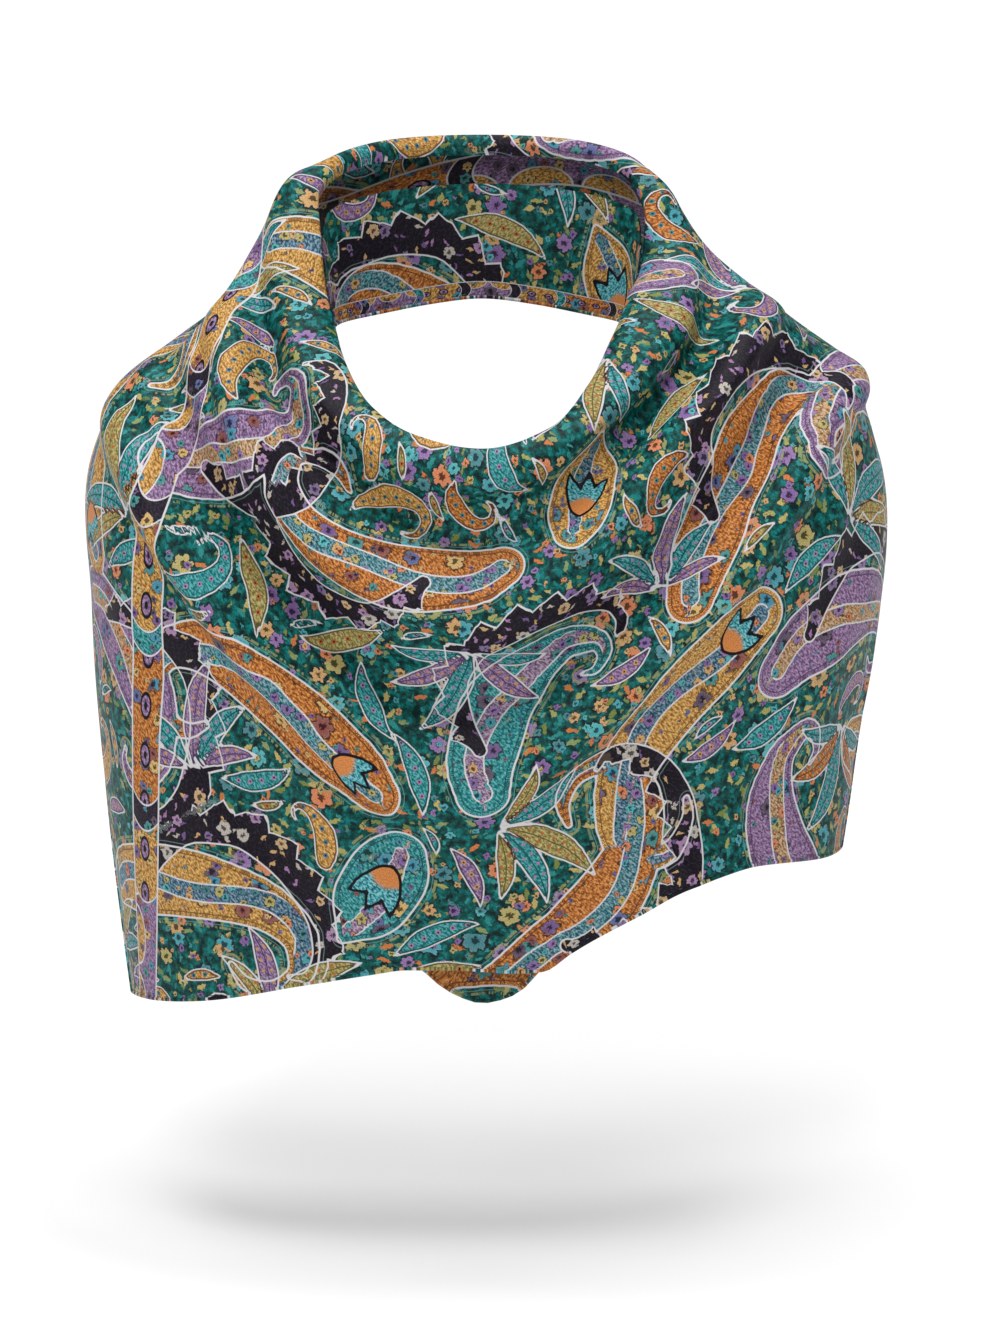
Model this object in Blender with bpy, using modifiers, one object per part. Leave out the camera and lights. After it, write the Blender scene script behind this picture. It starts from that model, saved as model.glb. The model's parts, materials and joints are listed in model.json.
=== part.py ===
"""Silk square scarf, folded from corner to corner and worn as a cowl.

The fold lies round the neck. The double cloth hangs in curved folds over the chest and the
shoulders, one stretch goes on round the back of the neck, and the other end is wound inside it.

Every stretch is a wall of cloth on the same form. A point of the cloth is found by its direction
round the neck (0 degrees in front, positive to the right, 180 behind) and by its distance down
the cloth from the fold at the neckline. Lengths are in millimetres in the tables and become
metres at the end. X is to the right, Y goes back, Z is up, and the origin is the middle of the
neck opening at the height of the neckline's lowest point.
"""

from collections import namedtuple

import bmesh
import bpy
import numpy as np

MM = 0.001
COLLECTION = "silk_square_scarf"

# Driving sizes, in millimetres.
CLOTH = 1.2
SEAM = 0.5
TURN_DEPTH = 14.0
ROLL_RADIUS = 4.5
TURN_ROWS = (-TURN_DEPTH, -7.0, -2.5)
GRID_STEP = 11.0
UNDER_COLUMN_STEP = 17.0
UNDER_ROW_STEP = 15.0
SHOULDER_ANGLE = 118.0
CORNER_ANGLE = 86.0
UNDER_SIDE_ANGLE = 84.0

# The worn form, a row for each direction round the neck. r is the distance from the neck's axis
# and z the height. neck is the fold, lip its outer bulge, slope the run over the shoulder,
# point the shoulder's turn, side the top of the hanging part, arm its widest place and foot the
# lower end of a full drop. lean is how much higher the right neckline is than the mean, and the
# left one lower.
Section = namedtuple(
    "Section",
    "angle neck_r neck_z lip_r lip_z slope_r slope_z point_r point_z side_r side_z "
    "arm_r arm_z foot_r lean",
)
SECTIONS = [
    Section(0, 95, 0, 105, -5, 108, -40, 113, -88, 117, -140, 120, -215, 120, 0),
    Section(25, 91, 8, 103, 4, 113, -30, 121, -78, 127, -134, 130, -210, 131, 2),
    Section(45, 89, 27, 103, 25, 124, -6, 141, -54, 151, -108, 155, -190, 155, 8),
    Section(60, 89, 48, 106, 47, 140, 16, 169, -24, 185, -76, 190, -160, 184, 12),
    Section(75, 89, 67, 111, 69, 157, 38, 200, 4, 222, -42, 226, -140, 208, 11),
    Section(90, 94, 88, 117, 91, 163, 58, 211, 23, 236, -28, 237, -120, 216, 2),
    Section(100, 99, 110, 117, 113, 160, 61, 206, 26, 238, -28, 239, -120, 219, -6),
    Section(110, 104, 133, 113, 135, 152, 74, 192, 36, 233, -22, 234, -120, 216, -4),
    Section(125, 101, 149, 110, 147, 129, 104, 163, 52, 192, -15, 198, -120, 190, 0),
    Section(150, 95, 154, 104, 151, 115, 110, 127, 64, 138, 5, 145, -100, 145, 0),
    Section(180, 89, 155, 98, 152, 103, 112, 108, 74, 112, 25, 118, -100, 118, 0),
]
FOOT_Z = -372.0

# The table above is the left half. The right half is wider or narrower by height.
RightSide = namedtuple("RightSide", "z width")
RIGHT_SIDE = [
    RightSide(-290, 0.975),
    RightSide(-212, 0.983),
    RightSide(-150, 1.010),
    RightSide(-95, 1.026),
    RightSide(-30, 1.018),
    RightSide(5, 1.035),
    RightSide(30, 1.095),
    RightSide(60, 1.118),
    RightSide(95, 1.015),
    RightSide(120, 0.972),
    RightSide(160, 0.960),
]
RIGHT_SIDE_START = 5.0
RIGHT_SIDE_FULL = 30.0

# The lower hem of each layer: its height in each direction.
Hem = namedtuple("Hem", "angle front_z under_z")
HEM = [
    Hem(-86, -358, -350),
    Hem(-63, -342, -334),
    Hem(-45, -326, -317),
    Hem(-30, -317, -307),
    Hem(-20, -313, -310),
    Hem(-9, -313, -328),
    Hem(0, -314, -335),
    Hem(9, -315, -330),
    Hem(17, -314, -313),
    Hem(24, -304, -296),
    Hem(40, -282, -273),
    Hem(52, -265, -256),
    Hem(63, -258, -249),
    Hem(86, -266, -256),
]

# The side hem leaves the collar's hem at the shoulder seam and comes forward to the lower corner.
# down is the share of the way from the seam to the corner.
SideHem = namedtuple("SideHem", "down angle")
SIDE_HEM = [
    SideHem(0.00, SHOULDER_ANGLE),
    SideHem(0.19, 108.0),
    SideHem(0.38, 101.0),
    SideHem(0.66, 94.5),
    SideHem(0.84, 90.0),
    SideHem(1.00, CORNER_ANGLE),
]

# The hem across the back, a row for each direction.
BackHem = namedtuple("BackHem", "angle z")
BACK_HEM = [
    BackHem(118, 2),
    BackHem(126, 28),
    BackHem(134, 48),
    BackHem(150, 63),
    BackHem(180, 71),
]

# The hanging folds of the cowl: how far each lies from the neckline in seven directions, its
# height (troughs are negative) and its half width in front. They draw together to the shoulders.
Fold = namedtuple("Fold", "name height half_width at_m75 at_m45 at_m20 at_0 at_20 at_45 at_75")
FOLD_ANGLES = (-75, -45, -20, 0, 20, 45, 75)
FOLDS = [
    Fold("first trough", -11.0, 25, 40, 42, 48, 46, 43, 39, 40),
    Fold("second ridge", 9.0, 27, 64, 88, 97, 97, 88, 70, 63),
    Fold("second trough", -10.0, 29, 104, 130, 150, 147, 137, 122, 102),
    Fold("third ridge", 8.0, 34, 150, 188, 212, 204, 187, 172, 138),
]
FOLD_NARROWING = 0.38
FOLD_FADE_START = 60.0
FOLD_FADE_END = 114.0

# Creases that run across the hanging folds: two ends as (angle, distance from the neckline),
# height (troughs are negative) and half width. They fade out towards both ends.
Crease = namedtuple("Crease", "angle_a down_a angle_b down_b height half_width")
CREASES = [
    Crease(-62, 150, -22, 310, 6.0, 26),
    Crease(-70, 230, -36, 340, -6.0, 26),
    Crease(84, 190, 46, 300, -7.0, 30),
    Crease(66, 290, 30, 250, 5.0, 26),
]
CREASE_POINTS = 19
CREASE_FADE = 0.6

# How far the under layer stays inside the front one, by distance from the neckline.
LayerGap = namedtuple("LayerGap", "down gap")
LAYER_GAPS = [
    LayerGap(0, 9.0),
    LayerGap(30, 7.5),
    LayerGap(80, 6.5),
    LayerGap(200, 5.5),
    LayerGap(600, 4.0),
]
UNDER_SEAT = 1.1
UNDER_START = 18.0

# The wound end inside the back of the neck, a row for each direction.
Band = namedtuple("Band", "angle r_top r_low z_top z_low")
BAND = [
    Band(82, 90.2, 87.0, 66, 47),
    Band(95, 95.4, 90.0, 99, 49),
    Band(108, 98.0, 92.0, 117, 50),
    Band(130, 88.0, 86.0, 124, 51),
    Band(155, 78.0, 77.0, 127, 55),
    Band(180, 74.0, 73.5, 128, 58),
]
BAND_COLUMNS = 30
BAND_ROWS = 6
BACK_COLUMNS = 26

# Distances down the cloth between which a hem is looked for, and the step.
HEM_SEARCH = (20.0, 561.0, 2.0)
# Where the form is measured to share out the columns, and in how many steps.
WIDEST_DOWN = 260.0
WIDEST_STEPS = 720

Finish = namedtuple("Finish", "color roughness")
FINISHES = {
    "front_ply": Finish((0.050, 0.160, 0.140, 1.0), 0.42),
    "under_ply": Finish((0.034, 0.110, 0.100, 1.0), 0.50),
    "outer_collar": Finish((0.060, 0.150, 0.130, 1.0), 0.42),
    "inner_band": Finish((0.150, 0.105, 0.150, 1.0), 0.45),
}


def through(knots, values, x):
    """Read a smooth curve through the values at the knots, without overshoot, at each x."""
    knots = np.asarray(knots, float)
    values = np.asarray(values, float)
    flat = values.ndim == 1
    values = values.reshape(len(knots), -1)
    widths = np.diff(knots)[:, None]
    pitch = np.diff(values, axis=0) / widths
    before, after = pitch[:-1], pitch[1:]
    total = np.where(np.abs(before + after) > 1e-12, before + after, 1.0)
    inner = np.where(before * after > 0, 2 * before * after / total, 0.0)
    slopes = np.concatenate([pitch[:1], inner, pitch[-1:]])
    x = np.clip(x, knots[0], knots[-1])
    i = np.clip(np.searchsorted(knots, x, side="right") - 1, 0, len(knots) - 2)
    width = widths[i]
    s = (x - knots[i])[..., None] / width
    rise = values[i] * (1 + 2 * s) * (1 - s) ** 2 + values[i + 1] * s * s * (3 - 2 * s)
    rise = rise + width * s * (1 - s) * (slopes[i] * (1 - s) - slopes[i + 1] * s)
    return rise[..., 0] if flat else rise


def mirrored(rows, columns):
    """Give a table's angles and columns, carried on past 0 and 180 degrees."""
    angles = [-rows[1].angle] + [row.angle for row in rows] + [360 - rows[-2].angle]
    picked = [rows[1]] + list(rows) + [rows[-2]]
    return angles, [[getattr(row, column) for column in columns] for row in picked]


def stations(theta):
    """Give the stations (r, z) that the cloth passes in each direction, from the turned edge."""
    names = Section._fields[1:]
    angles, values = mirrored(SECTIONS, names)
    row = dict(zip(names, np.moveaxis(through(angles, values, np.abs(theta)), -1, 0)))
    lean = row["lean"] * np.sign(theta)
    neck_z = row["neck_z"] + lean
    pairs = [
        (row["neck_r"] + 1.0, neck_z - TURN_DEPTH),
        (row["neck_r"], neck_z - ROLL_RADIUS),
        (row["neck_r"] + ROLL_RADIUS, neck_z),
        (row["lip_r"], row["lip_z"] + lean),
        (row["slope_r"], row["slope_z"]),
        (row["point_r"], row["point_z"]),
        (row["side_r"], row["side_z"]),
        (row["arm_r"], row["arm_z"]),
        (row["foot_r"], np.full_like(neck_z, FOOT_Z)),
    ]
    return np.stack([np.stack(pair, -1) for pair in pairs], -2)


FOLD_STATION = 2


def drop(theta, down):
    """Give (r, z) at a distance down the cloth from the top of the fold."""
    path = stations(theta)
    legs = np.linalg.norm(np.diff(path, axis=-2), axis=-1)
    reach = np.concatenate([np.zeros_like(legs[..., :1]), np.cumsum(legs, -1)], -1)
    reach = reach - reach[..., FOLD_STATION:FOLD_STATION + 1]
    steps = np.diff(reach, axis=-1)[..., None]
    pitch = np.diff(path, axis=-2) / steps
    inner = (pitch[..., :-1, :] * steps[..., 1:, :] + pitch[..., 1:, :] * steps[..., :-1, :])
    inner = inner / (steps[..., 1:, :] + steps[..., :-1, :])
    slopes = np.concatenate([pitch[..., :1, :], inner, pitch[..., -1:, :]], -2)
    last = path.shape[-2] - 2
    i = np.clip((down[..., None] >= reach[..., 1:]).sum(-1), 0, last)[..., None]
    start = np.take_along_axis(reach, i, -1)[..., 0]
    width = np.take_along_axis(steps[..., 0], i, -1)[..., 0]
    s = ((down - start) / width)[..., None]
    width = width[..., None]
    a = np.take_along_axis(path, i[..., None], -2)[..., 0, :]
    b = np.take_along_axis(path, i[..., None] + 1, -2)[..., 0, :]
    slope_a = np.take_along_axis(slopes, i[..., None], -2)[..., 0, :]
    slope_b = np.take_along_axis(slopes, i[..., None] + 1, -2)[..., 0, :]
    rise = a * (1 + 2 * s) * (1 - s) ** 2 + b * s * s * (3 - 2 * s)
    return rise + width * s * (1 - s) * (slope_a * (1 - s) - slope_b * s)


def form(theta, down):
    """Give the worn form's point (x, y, z) without its folds."""
    r, z = np.moveaxis(drop(theta, down), -1, 0)
    x = r * np.sin(np.radians(theta))
    y = -r * np.cos(np.radians(theta))
    width = through([row.z for row in RIGHT_SIDE], [row.width for row in RIGHT_SIDE], z)
    share = np.clip((down - RIGHT_SIDE_START) / (RIGHT_SIDE_FULL - RIGHT_SIDE_START), 0, 1)
    x = np.where(x > 0, x * (1 + (width - 1) * share), x)
    return np.stack([x, y, z], -1)


def outward(theta, down):
    """Give the form's direction out of the cloth."""
    turn = form(theta + 0.5, down) - form(theta - 0.5, down)
    fall = form(theta, down + 1.0) - form(theta, down - 1.0)
    out = np.cross(fall, turn)
    return out / np.linalg.norm(out, axis=-1, keepdims=True)


def bump(offset, half_width):
    """Give a soft rounded ridge of height 1."""
    s = np.clip(np.abs(offset) / half_width, 0, 1)
    return 0.5 + 0.5 * np.cos(np.pi * s)


def crease_lift(crease, places):
    """Give how far one crease lifts the cloth at places of the form."""
    share = np.linspace(0, 1, CREASE_POINTS)
    theta = crease.angle_a + (crease.angle_b - crease.angle_a) * share
    down = crease.down_a + (crease.down_b - crease.down_a) * share
    path = form(theta, down)
    start, leg = path[:-1], np.diff(path, axis=0)
    rel = places[..., None, :] - start
    s = np.clip((rel * leg).sum(-1) / (leg * leg).sum(-1), 0, 1)
    gap = np.linalg.norm(rel - s[..., None] * leg, axis=-1)
    nearest = gap.argmin(-1)[..., None]
    along = (nearest + np.take_along_axis(s, nearest, -1))[..., 0] / len(leg)
    fade = np.sin(np.pi * along) ** CREASE_FADE
    return crease.height * fade * bump(gap.min(-1), crease.half_width)


def fold_height(theta, down, places):
    """Give how far the folds lift the cloth off the form."""
    span = (np.abs(theta) - FOLD_FADE_START) / (FOLD_FADE_END - FOLD_FADE_START)
    fade = bump(np.clip(span, 0, 1), 1.0)
    narrow = 1 - FOLD_NARROWING * np.clip(np.abs(theta) / FOLD_ANGLES[-1], 0, 1)
    height = np.zeros_like(down)
    for fold in FOLDS:
        across = through(FOLD_ANGLES, fold[3:], theta)
        height = height + fade * fold.height * bump(down - across, fold.half_width * narrow)
    for crease in CREASES:
        height = height + crease_lift(crease, places)
    return height


def cloth_point(theta, down, inset=0.0):
    """Give a point of the draped cloth, inset from the outer face."""
    places = form(theta, down)
    lift = fold_height(theta, down, places) - inset
    return places + outward(theta, down) * lift[..., None]


def hem_distance(theta, hem_z):
    """Give the distance down the cloth at which the form reaches the hem's height."""
    downs = np.arange(*HEM_SEARCH)
    grid = drop(np.repeat(theta[:, None], len(downs), 1), np.repeat(downs[None], len(theta), 0))
    return np.array([np.interp(-z, row, downs) for z, row in zip(hem_z, -grid[..., 1])])


def cloth_wall(name, points):
    """Make a wall of cloth whose outer face passes through a grid of points."""
    rows, columns = points.shape[:2]
    mesh = bpy.data.meshes.new(name)
    bm = bmesh.new()
    verts = [[bm.verts.new(points[i, j] * MM) for j in range(columns)] for i in range(rows)]
    for i in range(rows - 1):
        for j in range(columns - 1):
            bm.faces.new((verts[i][j], verts[i + 1][j], verts[i + 1][j + 1], verts[i][j + 1]))
    bm.to_mesh(mesh)
    bm.free()
    mesh.shade_smooth()
    piece = bpy.data.objects.new(name, mesh)
    bpy.data.collections[COLLECTION].objects.link(piece)
    wall = piece.modifiers.new("cloth thickness", "SOLIDIFY")
    wall.thickness = CLOTH * MM
    wall.offset = -1.0
    mesh.materials.append(finish(name))
    return piece


def finish(name):
    """Make the material of one stretch of cloth."""
    look = FINISHES[name]
    material = bpy.data.materials.new(name)
    material.use_nodes = True
    shader = material.node_tree.nodes["Principled BSDF"]
    shader.inputs["Base Color"].default_value = look.color
    shader.inputs["Roughness"].default_value = look.roughness
    shader.inputs["Metallic"].default_value = 0.0
    return material


def columns_by_arc(side_angle, step):
    """Share out directions so that the columns lie about a step apart where the form is widest."""
    fine = np.linspace(-side_angle, side_angle, WIDEST_STEPS + 1)
    line = form(fine, np.full_like(fine, WIDEST_DOWN))
    reach = np.concatenate([[0], np.cumsum(np.linalg.norm(np.diff(line, axis=0), axis=1))])
    count = int(round(reach[-1] / step))
    return np.interp(np.linspace(0, reach[-1], count + 1), reach, fine)


def layer_feet(hem_column, side_angle, step):
    """Give a layer's directions along its lower hem and the length of cloth down to it."""
    foot = columns_by_arc(side_angle, step)
    hem_z = through([row.angle for row in HEM], [getattr(row, hem_column) for row in HEM], foot)
    return foot, hem_distance(foot, hem_z)


def fan_out(foot, down, length, side_angle):
    """Give one row's directions: the columns fan out from the shoulder to the lower corners."""
    seam = hem_distance(np.array([-SHOULDER_ANGLE, SHOULDER_ANGLE]), [BACK_HEM[0].z] * 2)
    ends = length[[0, -1]]
    way = np.clip((down[[0, -1]] - seam) / (ends - seam), 0, 1)
    edge = through([row.down for row in SIDE_HEM], [row.angle for row in SIDE_HEM], way)
    share = foot / side_angle
    return np.where(share < 0, share * edge[0], share * edge[1]) * side_angle / CORNER_ANGLE


def make_front_ply():
    """The outer layer over the chest and both shoulders, with its rolled fold."""
    foot, length = layer_feet("front_z", CORNER_ANGLE, GRID_STEP)
    shares = np.linspace(0, 1, int(round(length.mean() / GRID_STEP)) + 1)
    rows = [np.full_like(foot, down) for down in TURN_ROWS]
    rows += [share * length for share in shares]
    grid = [cloth_point(fan_out(foot, down, length, CORNER_ANGLE), down) for down in rows]
    cloth_wall("front_ply", np.array(grid))


def make_under_ply():
    """The layer behind the front one, whose corner looks out under the hem."""
    foot, length = layer_feet("under_z", UNDER_SIDE_ANGLE, UNDER_COLUMN_STEP)
    shares = np.linspace(0, 1, int(round(length.mean() / UNDER_ROW_STEP)) + 1)
    seat = np.full_like(foot, -TURN_DEPTH - UNDER_SEAT)
    grid = [cloth_point(fan_out(foot, seat, length, UNDER_SIDE_ANGLE), seat)]
    for share in shares:
        down = UNDER_START + share * (length - UNDER_START)
        gap = through([row.down for row in LAYER_GAPS], [row.gap for row in LAYER_GAPS], down)
        theta = fan_out(foot, down, length, UNDER_SIDE_ANGLE)
        grid.append(cloth_point(theta, down, gap))
    cloth_wall("under_ply", np.array(grid))


def make_outer_collar():
    """The stretch that goes on round the back of the neck."""
    margin = np.degrees(SEAM / SECTIONS[-4].neck_r)
    theta = np.linspace(SHOULDER_ANGLE + margin, 360 - SHOULDER_ANGLE - margin, BACK_COLUMNS + 1)
    signed = np.where(theta > 180, theta - 360, theta)
    angles = [row.angle for row in BACK_HEM] + [360 - BACK_HEM[-2].angle]
    heights = [row.z for row in BACK_HEM] + [BACK_HEM[-2].z]
    hem_z = through(angles, heights, np.where(theta > 180, 360 - theta, theta))
    length = hem_distance(signed, hem_z)
    grid = [cloth_point(signed, np.full_like(signed, down)) for down in TURN_ROWS]
    shares = np.linspace(0, 1, int(round(length.max() / GRID_STEP)) + 1)
    grid += [cloth_point(signed, share * length) for share in shares]
    cloth_wall("outer_collar", np.array(grid))


def make_inner_band():
    """The end wound inside the back of the neck, with its rolled top."""
    theta = np.linspace(BAND[0].angle, 360 - BAND[0].angle, BAND_COLUMNS + 1)
    folded = np.where(theta > 180, 360 - theta, theta)
    names = Band._fields[1:]
    angles = [row.angle for row in BAND] + [360 - BAND[-2].angle]
    values = [[getattr(row, name) for name in names] for row in BAND + [BAND[-2]]]
    r_top, r_low, z_top, z_low = through(angles, values, folded).T
    turn = np.radians(theta)
    grid = []
    for share in np.linspace(0, 1, BAND_ROWS + 1):
        r = r_top + (r_low - r_top) * share
        z = z_top + (z_low - z_top) * share
        grid.append(np.stack([r * np.sin(turn), -r * np.cos(turn), z], -1))
    cloth_wall("inner_band", np.array(grid))


def main():
    for old in list(bpy.data.objects):
        bpy.data.objects.remove(old, do_unlink=True)
    collection = bpy.data.collections.new(COLLECTION)
    bpy.context.scene.collection.children.link(collection)
    make_front_ply()
    make_under_ply()
    make_outer_collar()
    make_inner_band()


main()
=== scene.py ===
"""Silk square scarf, folded from corner to corner and worn as a cowl: its finished looks.

The printed twill is drawn in the flat cloth's own millimetres, the way a printer lays out a
square, and each stretch of draped cloth carries its flat place along. Lengths in the tables are
millimetres and become metres when a mesh is made.
"""

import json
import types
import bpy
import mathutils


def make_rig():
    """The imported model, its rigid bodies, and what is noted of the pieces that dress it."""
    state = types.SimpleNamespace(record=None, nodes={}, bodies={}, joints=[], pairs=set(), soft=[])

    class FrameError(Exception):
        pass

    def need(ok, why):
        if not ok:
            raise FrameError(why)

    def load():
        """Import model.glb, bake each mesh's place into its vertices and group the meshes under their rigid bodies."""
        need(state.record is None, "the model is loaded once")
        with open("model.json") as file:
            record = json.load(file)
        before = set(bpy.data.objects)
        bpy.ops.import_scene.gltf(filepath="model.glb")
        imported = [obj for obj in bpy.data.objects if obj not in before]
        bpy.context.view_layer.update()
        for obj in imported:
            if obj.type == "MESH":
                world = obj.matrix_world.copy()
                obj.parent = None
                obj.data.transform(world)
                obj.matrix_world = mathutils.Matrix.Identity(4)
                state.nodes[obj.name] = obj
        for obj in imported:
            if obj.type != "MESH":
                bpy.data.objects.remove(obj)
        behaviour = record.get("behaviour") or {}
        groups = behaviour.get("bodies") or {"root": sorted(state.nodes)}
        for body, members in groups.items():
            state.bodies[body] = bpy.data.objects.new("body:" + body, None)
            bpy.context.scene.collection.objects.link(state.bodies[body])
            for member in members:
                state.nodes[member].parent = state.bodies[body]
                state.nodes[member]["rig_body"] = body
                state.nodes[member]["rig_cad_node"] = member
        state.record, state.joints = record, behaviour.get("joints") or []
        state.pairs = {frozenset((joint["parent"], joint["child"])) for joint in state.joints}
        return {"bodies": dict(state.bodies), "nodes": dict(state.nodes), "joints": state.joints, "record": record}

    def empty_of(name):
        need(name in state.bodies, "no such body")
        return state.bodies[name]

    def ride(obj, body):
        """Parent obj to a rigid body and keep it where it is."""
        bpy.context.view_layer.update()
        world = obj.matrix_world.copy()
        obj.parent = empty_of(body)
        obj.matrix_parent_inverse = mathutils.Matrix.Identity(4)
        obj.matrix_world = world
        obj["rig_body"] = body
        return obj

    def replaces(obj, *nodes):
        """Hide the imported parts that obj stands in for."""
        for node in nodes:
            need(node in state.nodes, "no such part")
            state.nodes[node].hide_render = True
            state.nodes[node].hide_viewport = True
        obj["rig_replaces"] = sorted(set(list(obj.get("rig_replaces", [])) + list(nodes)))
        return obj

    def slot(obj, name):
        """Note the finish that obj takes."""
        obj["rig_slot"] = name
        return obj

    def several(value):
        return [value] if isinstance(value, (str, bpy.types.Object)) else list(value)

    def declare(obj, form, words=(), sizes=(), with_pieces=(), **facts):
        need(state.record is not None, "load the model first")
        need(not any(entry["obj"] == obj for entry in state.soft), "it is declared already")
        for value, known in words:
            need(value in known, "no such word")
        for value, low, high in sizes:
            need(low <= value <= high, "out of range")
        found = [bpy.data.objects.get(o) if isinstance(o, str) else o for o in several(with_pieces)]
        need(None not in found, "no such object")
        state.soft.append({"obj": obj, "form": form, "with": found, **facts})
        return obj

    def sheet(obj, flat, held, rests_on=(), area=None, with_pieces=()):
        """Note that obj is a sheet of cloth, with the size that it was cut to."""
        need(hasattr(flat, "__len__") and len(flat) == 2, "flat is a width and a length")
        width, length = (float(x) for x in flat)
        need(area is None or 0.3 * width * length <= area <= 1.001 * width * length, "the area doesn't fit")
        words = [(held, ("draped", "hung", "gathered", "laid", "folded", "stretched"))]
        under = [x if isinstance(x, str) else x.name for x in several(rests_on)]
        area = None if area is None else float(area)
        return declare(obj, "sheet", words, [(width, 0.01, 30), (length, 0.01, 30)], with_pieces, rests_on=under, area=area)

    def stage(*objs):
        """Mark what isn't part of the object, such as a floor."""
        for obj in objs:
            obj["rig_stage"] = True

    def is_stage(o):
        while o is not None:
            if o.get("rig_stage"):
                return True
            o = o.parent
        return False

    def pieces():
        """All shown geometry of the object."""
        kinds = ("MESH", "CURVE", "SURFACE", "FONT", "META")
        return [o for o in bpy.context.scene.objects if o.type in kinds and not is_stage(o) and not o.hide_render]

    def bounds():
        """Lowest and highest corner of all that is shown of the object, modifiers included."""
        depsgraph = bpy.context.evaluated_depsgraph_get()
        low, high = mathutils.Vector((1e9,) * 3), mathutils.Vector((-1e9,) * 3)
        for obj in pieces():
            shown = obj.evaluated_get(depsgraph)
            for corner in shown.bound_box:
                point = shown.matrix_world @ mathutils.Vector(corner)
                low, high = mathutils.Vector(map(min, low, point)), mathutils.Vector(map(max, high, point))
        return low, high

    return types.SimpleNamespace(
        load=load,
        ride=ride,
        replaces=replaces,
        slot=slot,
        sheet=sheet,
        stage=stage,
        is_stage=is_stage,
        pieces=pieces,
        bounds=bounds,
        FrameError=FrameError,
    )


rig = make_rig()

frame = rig.load()

import itertools
import json
import math
from collections import namedtuple

import bpy
import numpy as np
from mathutils import Vector

cad_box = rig.bounds()
MM = 0.001

# ---------------------------------------------------------------- sizes of the worn form

# The edge turned in at the neck and its roll, the seam's direction and the lower corners'.
TURN_DEPTH = 14.0
TURN_IN = 1.0
ROLL_RADIUS = 4.5
SHOULDER_ANGLE = 118.0
CORNER_ANGLE = 86.0
UNDER_SIDE_ANGLE = 84.0
# The silk as it is drawn, its rolled hem and how finely each layer is worked out.
SILK = 0.7
HEM_RADIUS = 1.15
FINE_STEP = 2.0
UNDER_FINE_STEP = 3.6

# The worn form, a row for each direction round the neck: 0 in front, 180 behind. r is the
# distance from the neck's axis and z the height of the fold at the neck, its outer bulge, the
# run over the shoulder, the shoulder's turn, the top of the hanging part, its widest place and
# the foot of a full drop. lean is how much higher the right neckline is than the mean.
Section = namedtuple(
    "Section",
    "angle neck_r neck_z lip_r lip_z slope_r slope_z point_r point_z side_r side_z "
    "arm_r arm_z foot_r lean",
)
SECTIONS = [
    Section(0, 95, 0, 105, -5, 108, -40, 113, -88, 117, -140, 120, -215, 120, 0),
    Section(25, 91, 8, 103, 4, 113, -30, 121, -78, 127, -134, 130, -210, 131, 2),
    Section(45, 89, 27, 103, 25, 124, -6, 141, -54, 151, -108, 155, -190, 155, 8),
    Section(60, 89, 48, 106, 47, 140, 16, 169, -24, 185, -76, 190, -160, 184, 12),
    Section(75, 89, 67, 111, 69, 157, 38, 200, 4, 222, -42, 226, -140, 208, 11),
    Section(90, 94, 88, 117, 91, 163, 58, 211, 23, 236, -28, 237, -120, 216, 2),
    Section(100, 99, 110, 117, 113, 160, 61, 206, 26, 238, -28, 239, -120, 219, -6),
    Section(110, 104, 133, 113, 135, 152, 74, 192, 36, 233, -22, 234, -120, 216, -4),
    Section(125, 101, 149, 110, 147, 129, 104, 163, 52, 192, -15, 198, -120, 190, 0),
    Section(150, 95, 154, 104, 151, 115, 110, 127, 64, 138, 5, 145, -100, 145, 0),
    Section(180, 89, 155, 98, 152, 103, 112, 108, 74, 112, 25, 118, -100, 118, 0),
]
FOOT_Z = -372.0
# The row of a station's path that is the top of the fold.
FOLD_STATION = 2

# The table above is the left half. The right half is wider or narrower by height.
RightSide = namedtuple("RightSide", "z width")
RIGHT_SIDE = [
    RightSide(-290, 0.975),
    RightSide(-212, 0.983),
    RightSide(-150, 1.010),
    RightSide(-95, 1.026),
    RightSide(-30, 1.018),
    RightSide(5, 1.035),
    RightSide(30, 1.095),
    RightSide(60, 1.118),
    RightSide(95, 1.015),
    RightSide(120, 0.972),
    RightSide(160, 0.960),
]
RIGHT_SIDE_START = 5.0
RIGHT_SIDE_FULL = 30.0

# The lower hem of each layer: its height in each direction.
Hem = namedtuple("Hem", "angle front_z under_z")
HEM = [
    Hem(-86, -358, -350),
    Hem(-63, -342, -334),
    Hem(-45, -326, -317),
    Hem(-30, -317, -307),
    Hem(-20, -313, -310),
    Hem(-9, -313, -328),
    Hem(0, -314, -335),
    Hem(9, -315, -330),
    Hem(17, -314, -313),
    Hem(24, -304, -296),
    Hem(40, -282, -273),
    Hem(52, -265, -256),
    Hem(63, -258, -249),
    Hem(86, -266, -256),
]

# The side hem leaves the shoulder and comes forward to the lower corner. down is the share of
# the way from the shoulder to the corner.
SideHem = namedtuple("SideHem", "down angle")
SIDE_HEM = [
    SideHem(0.00, SHOULDER_ANGLE),
    SideHem(0.19, 108.0),
    SideHem(0.38, 101.0),
    SideHem(0.66, 94.5),
    SideHem(0.84, 90.0),
    SideHem(1.00, CORNER_ANGLE),
]

# The hem across the back, a row for each direction.
BackHem = namedtuple("BackHem", "angle z")
BACK_HEM = [
    BackHem(118, 2),
    BackHem(126, 28),
    BackHem(134, 48),
    BackHem(150, 63),
    BackHem(180, 71),
]

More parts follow.
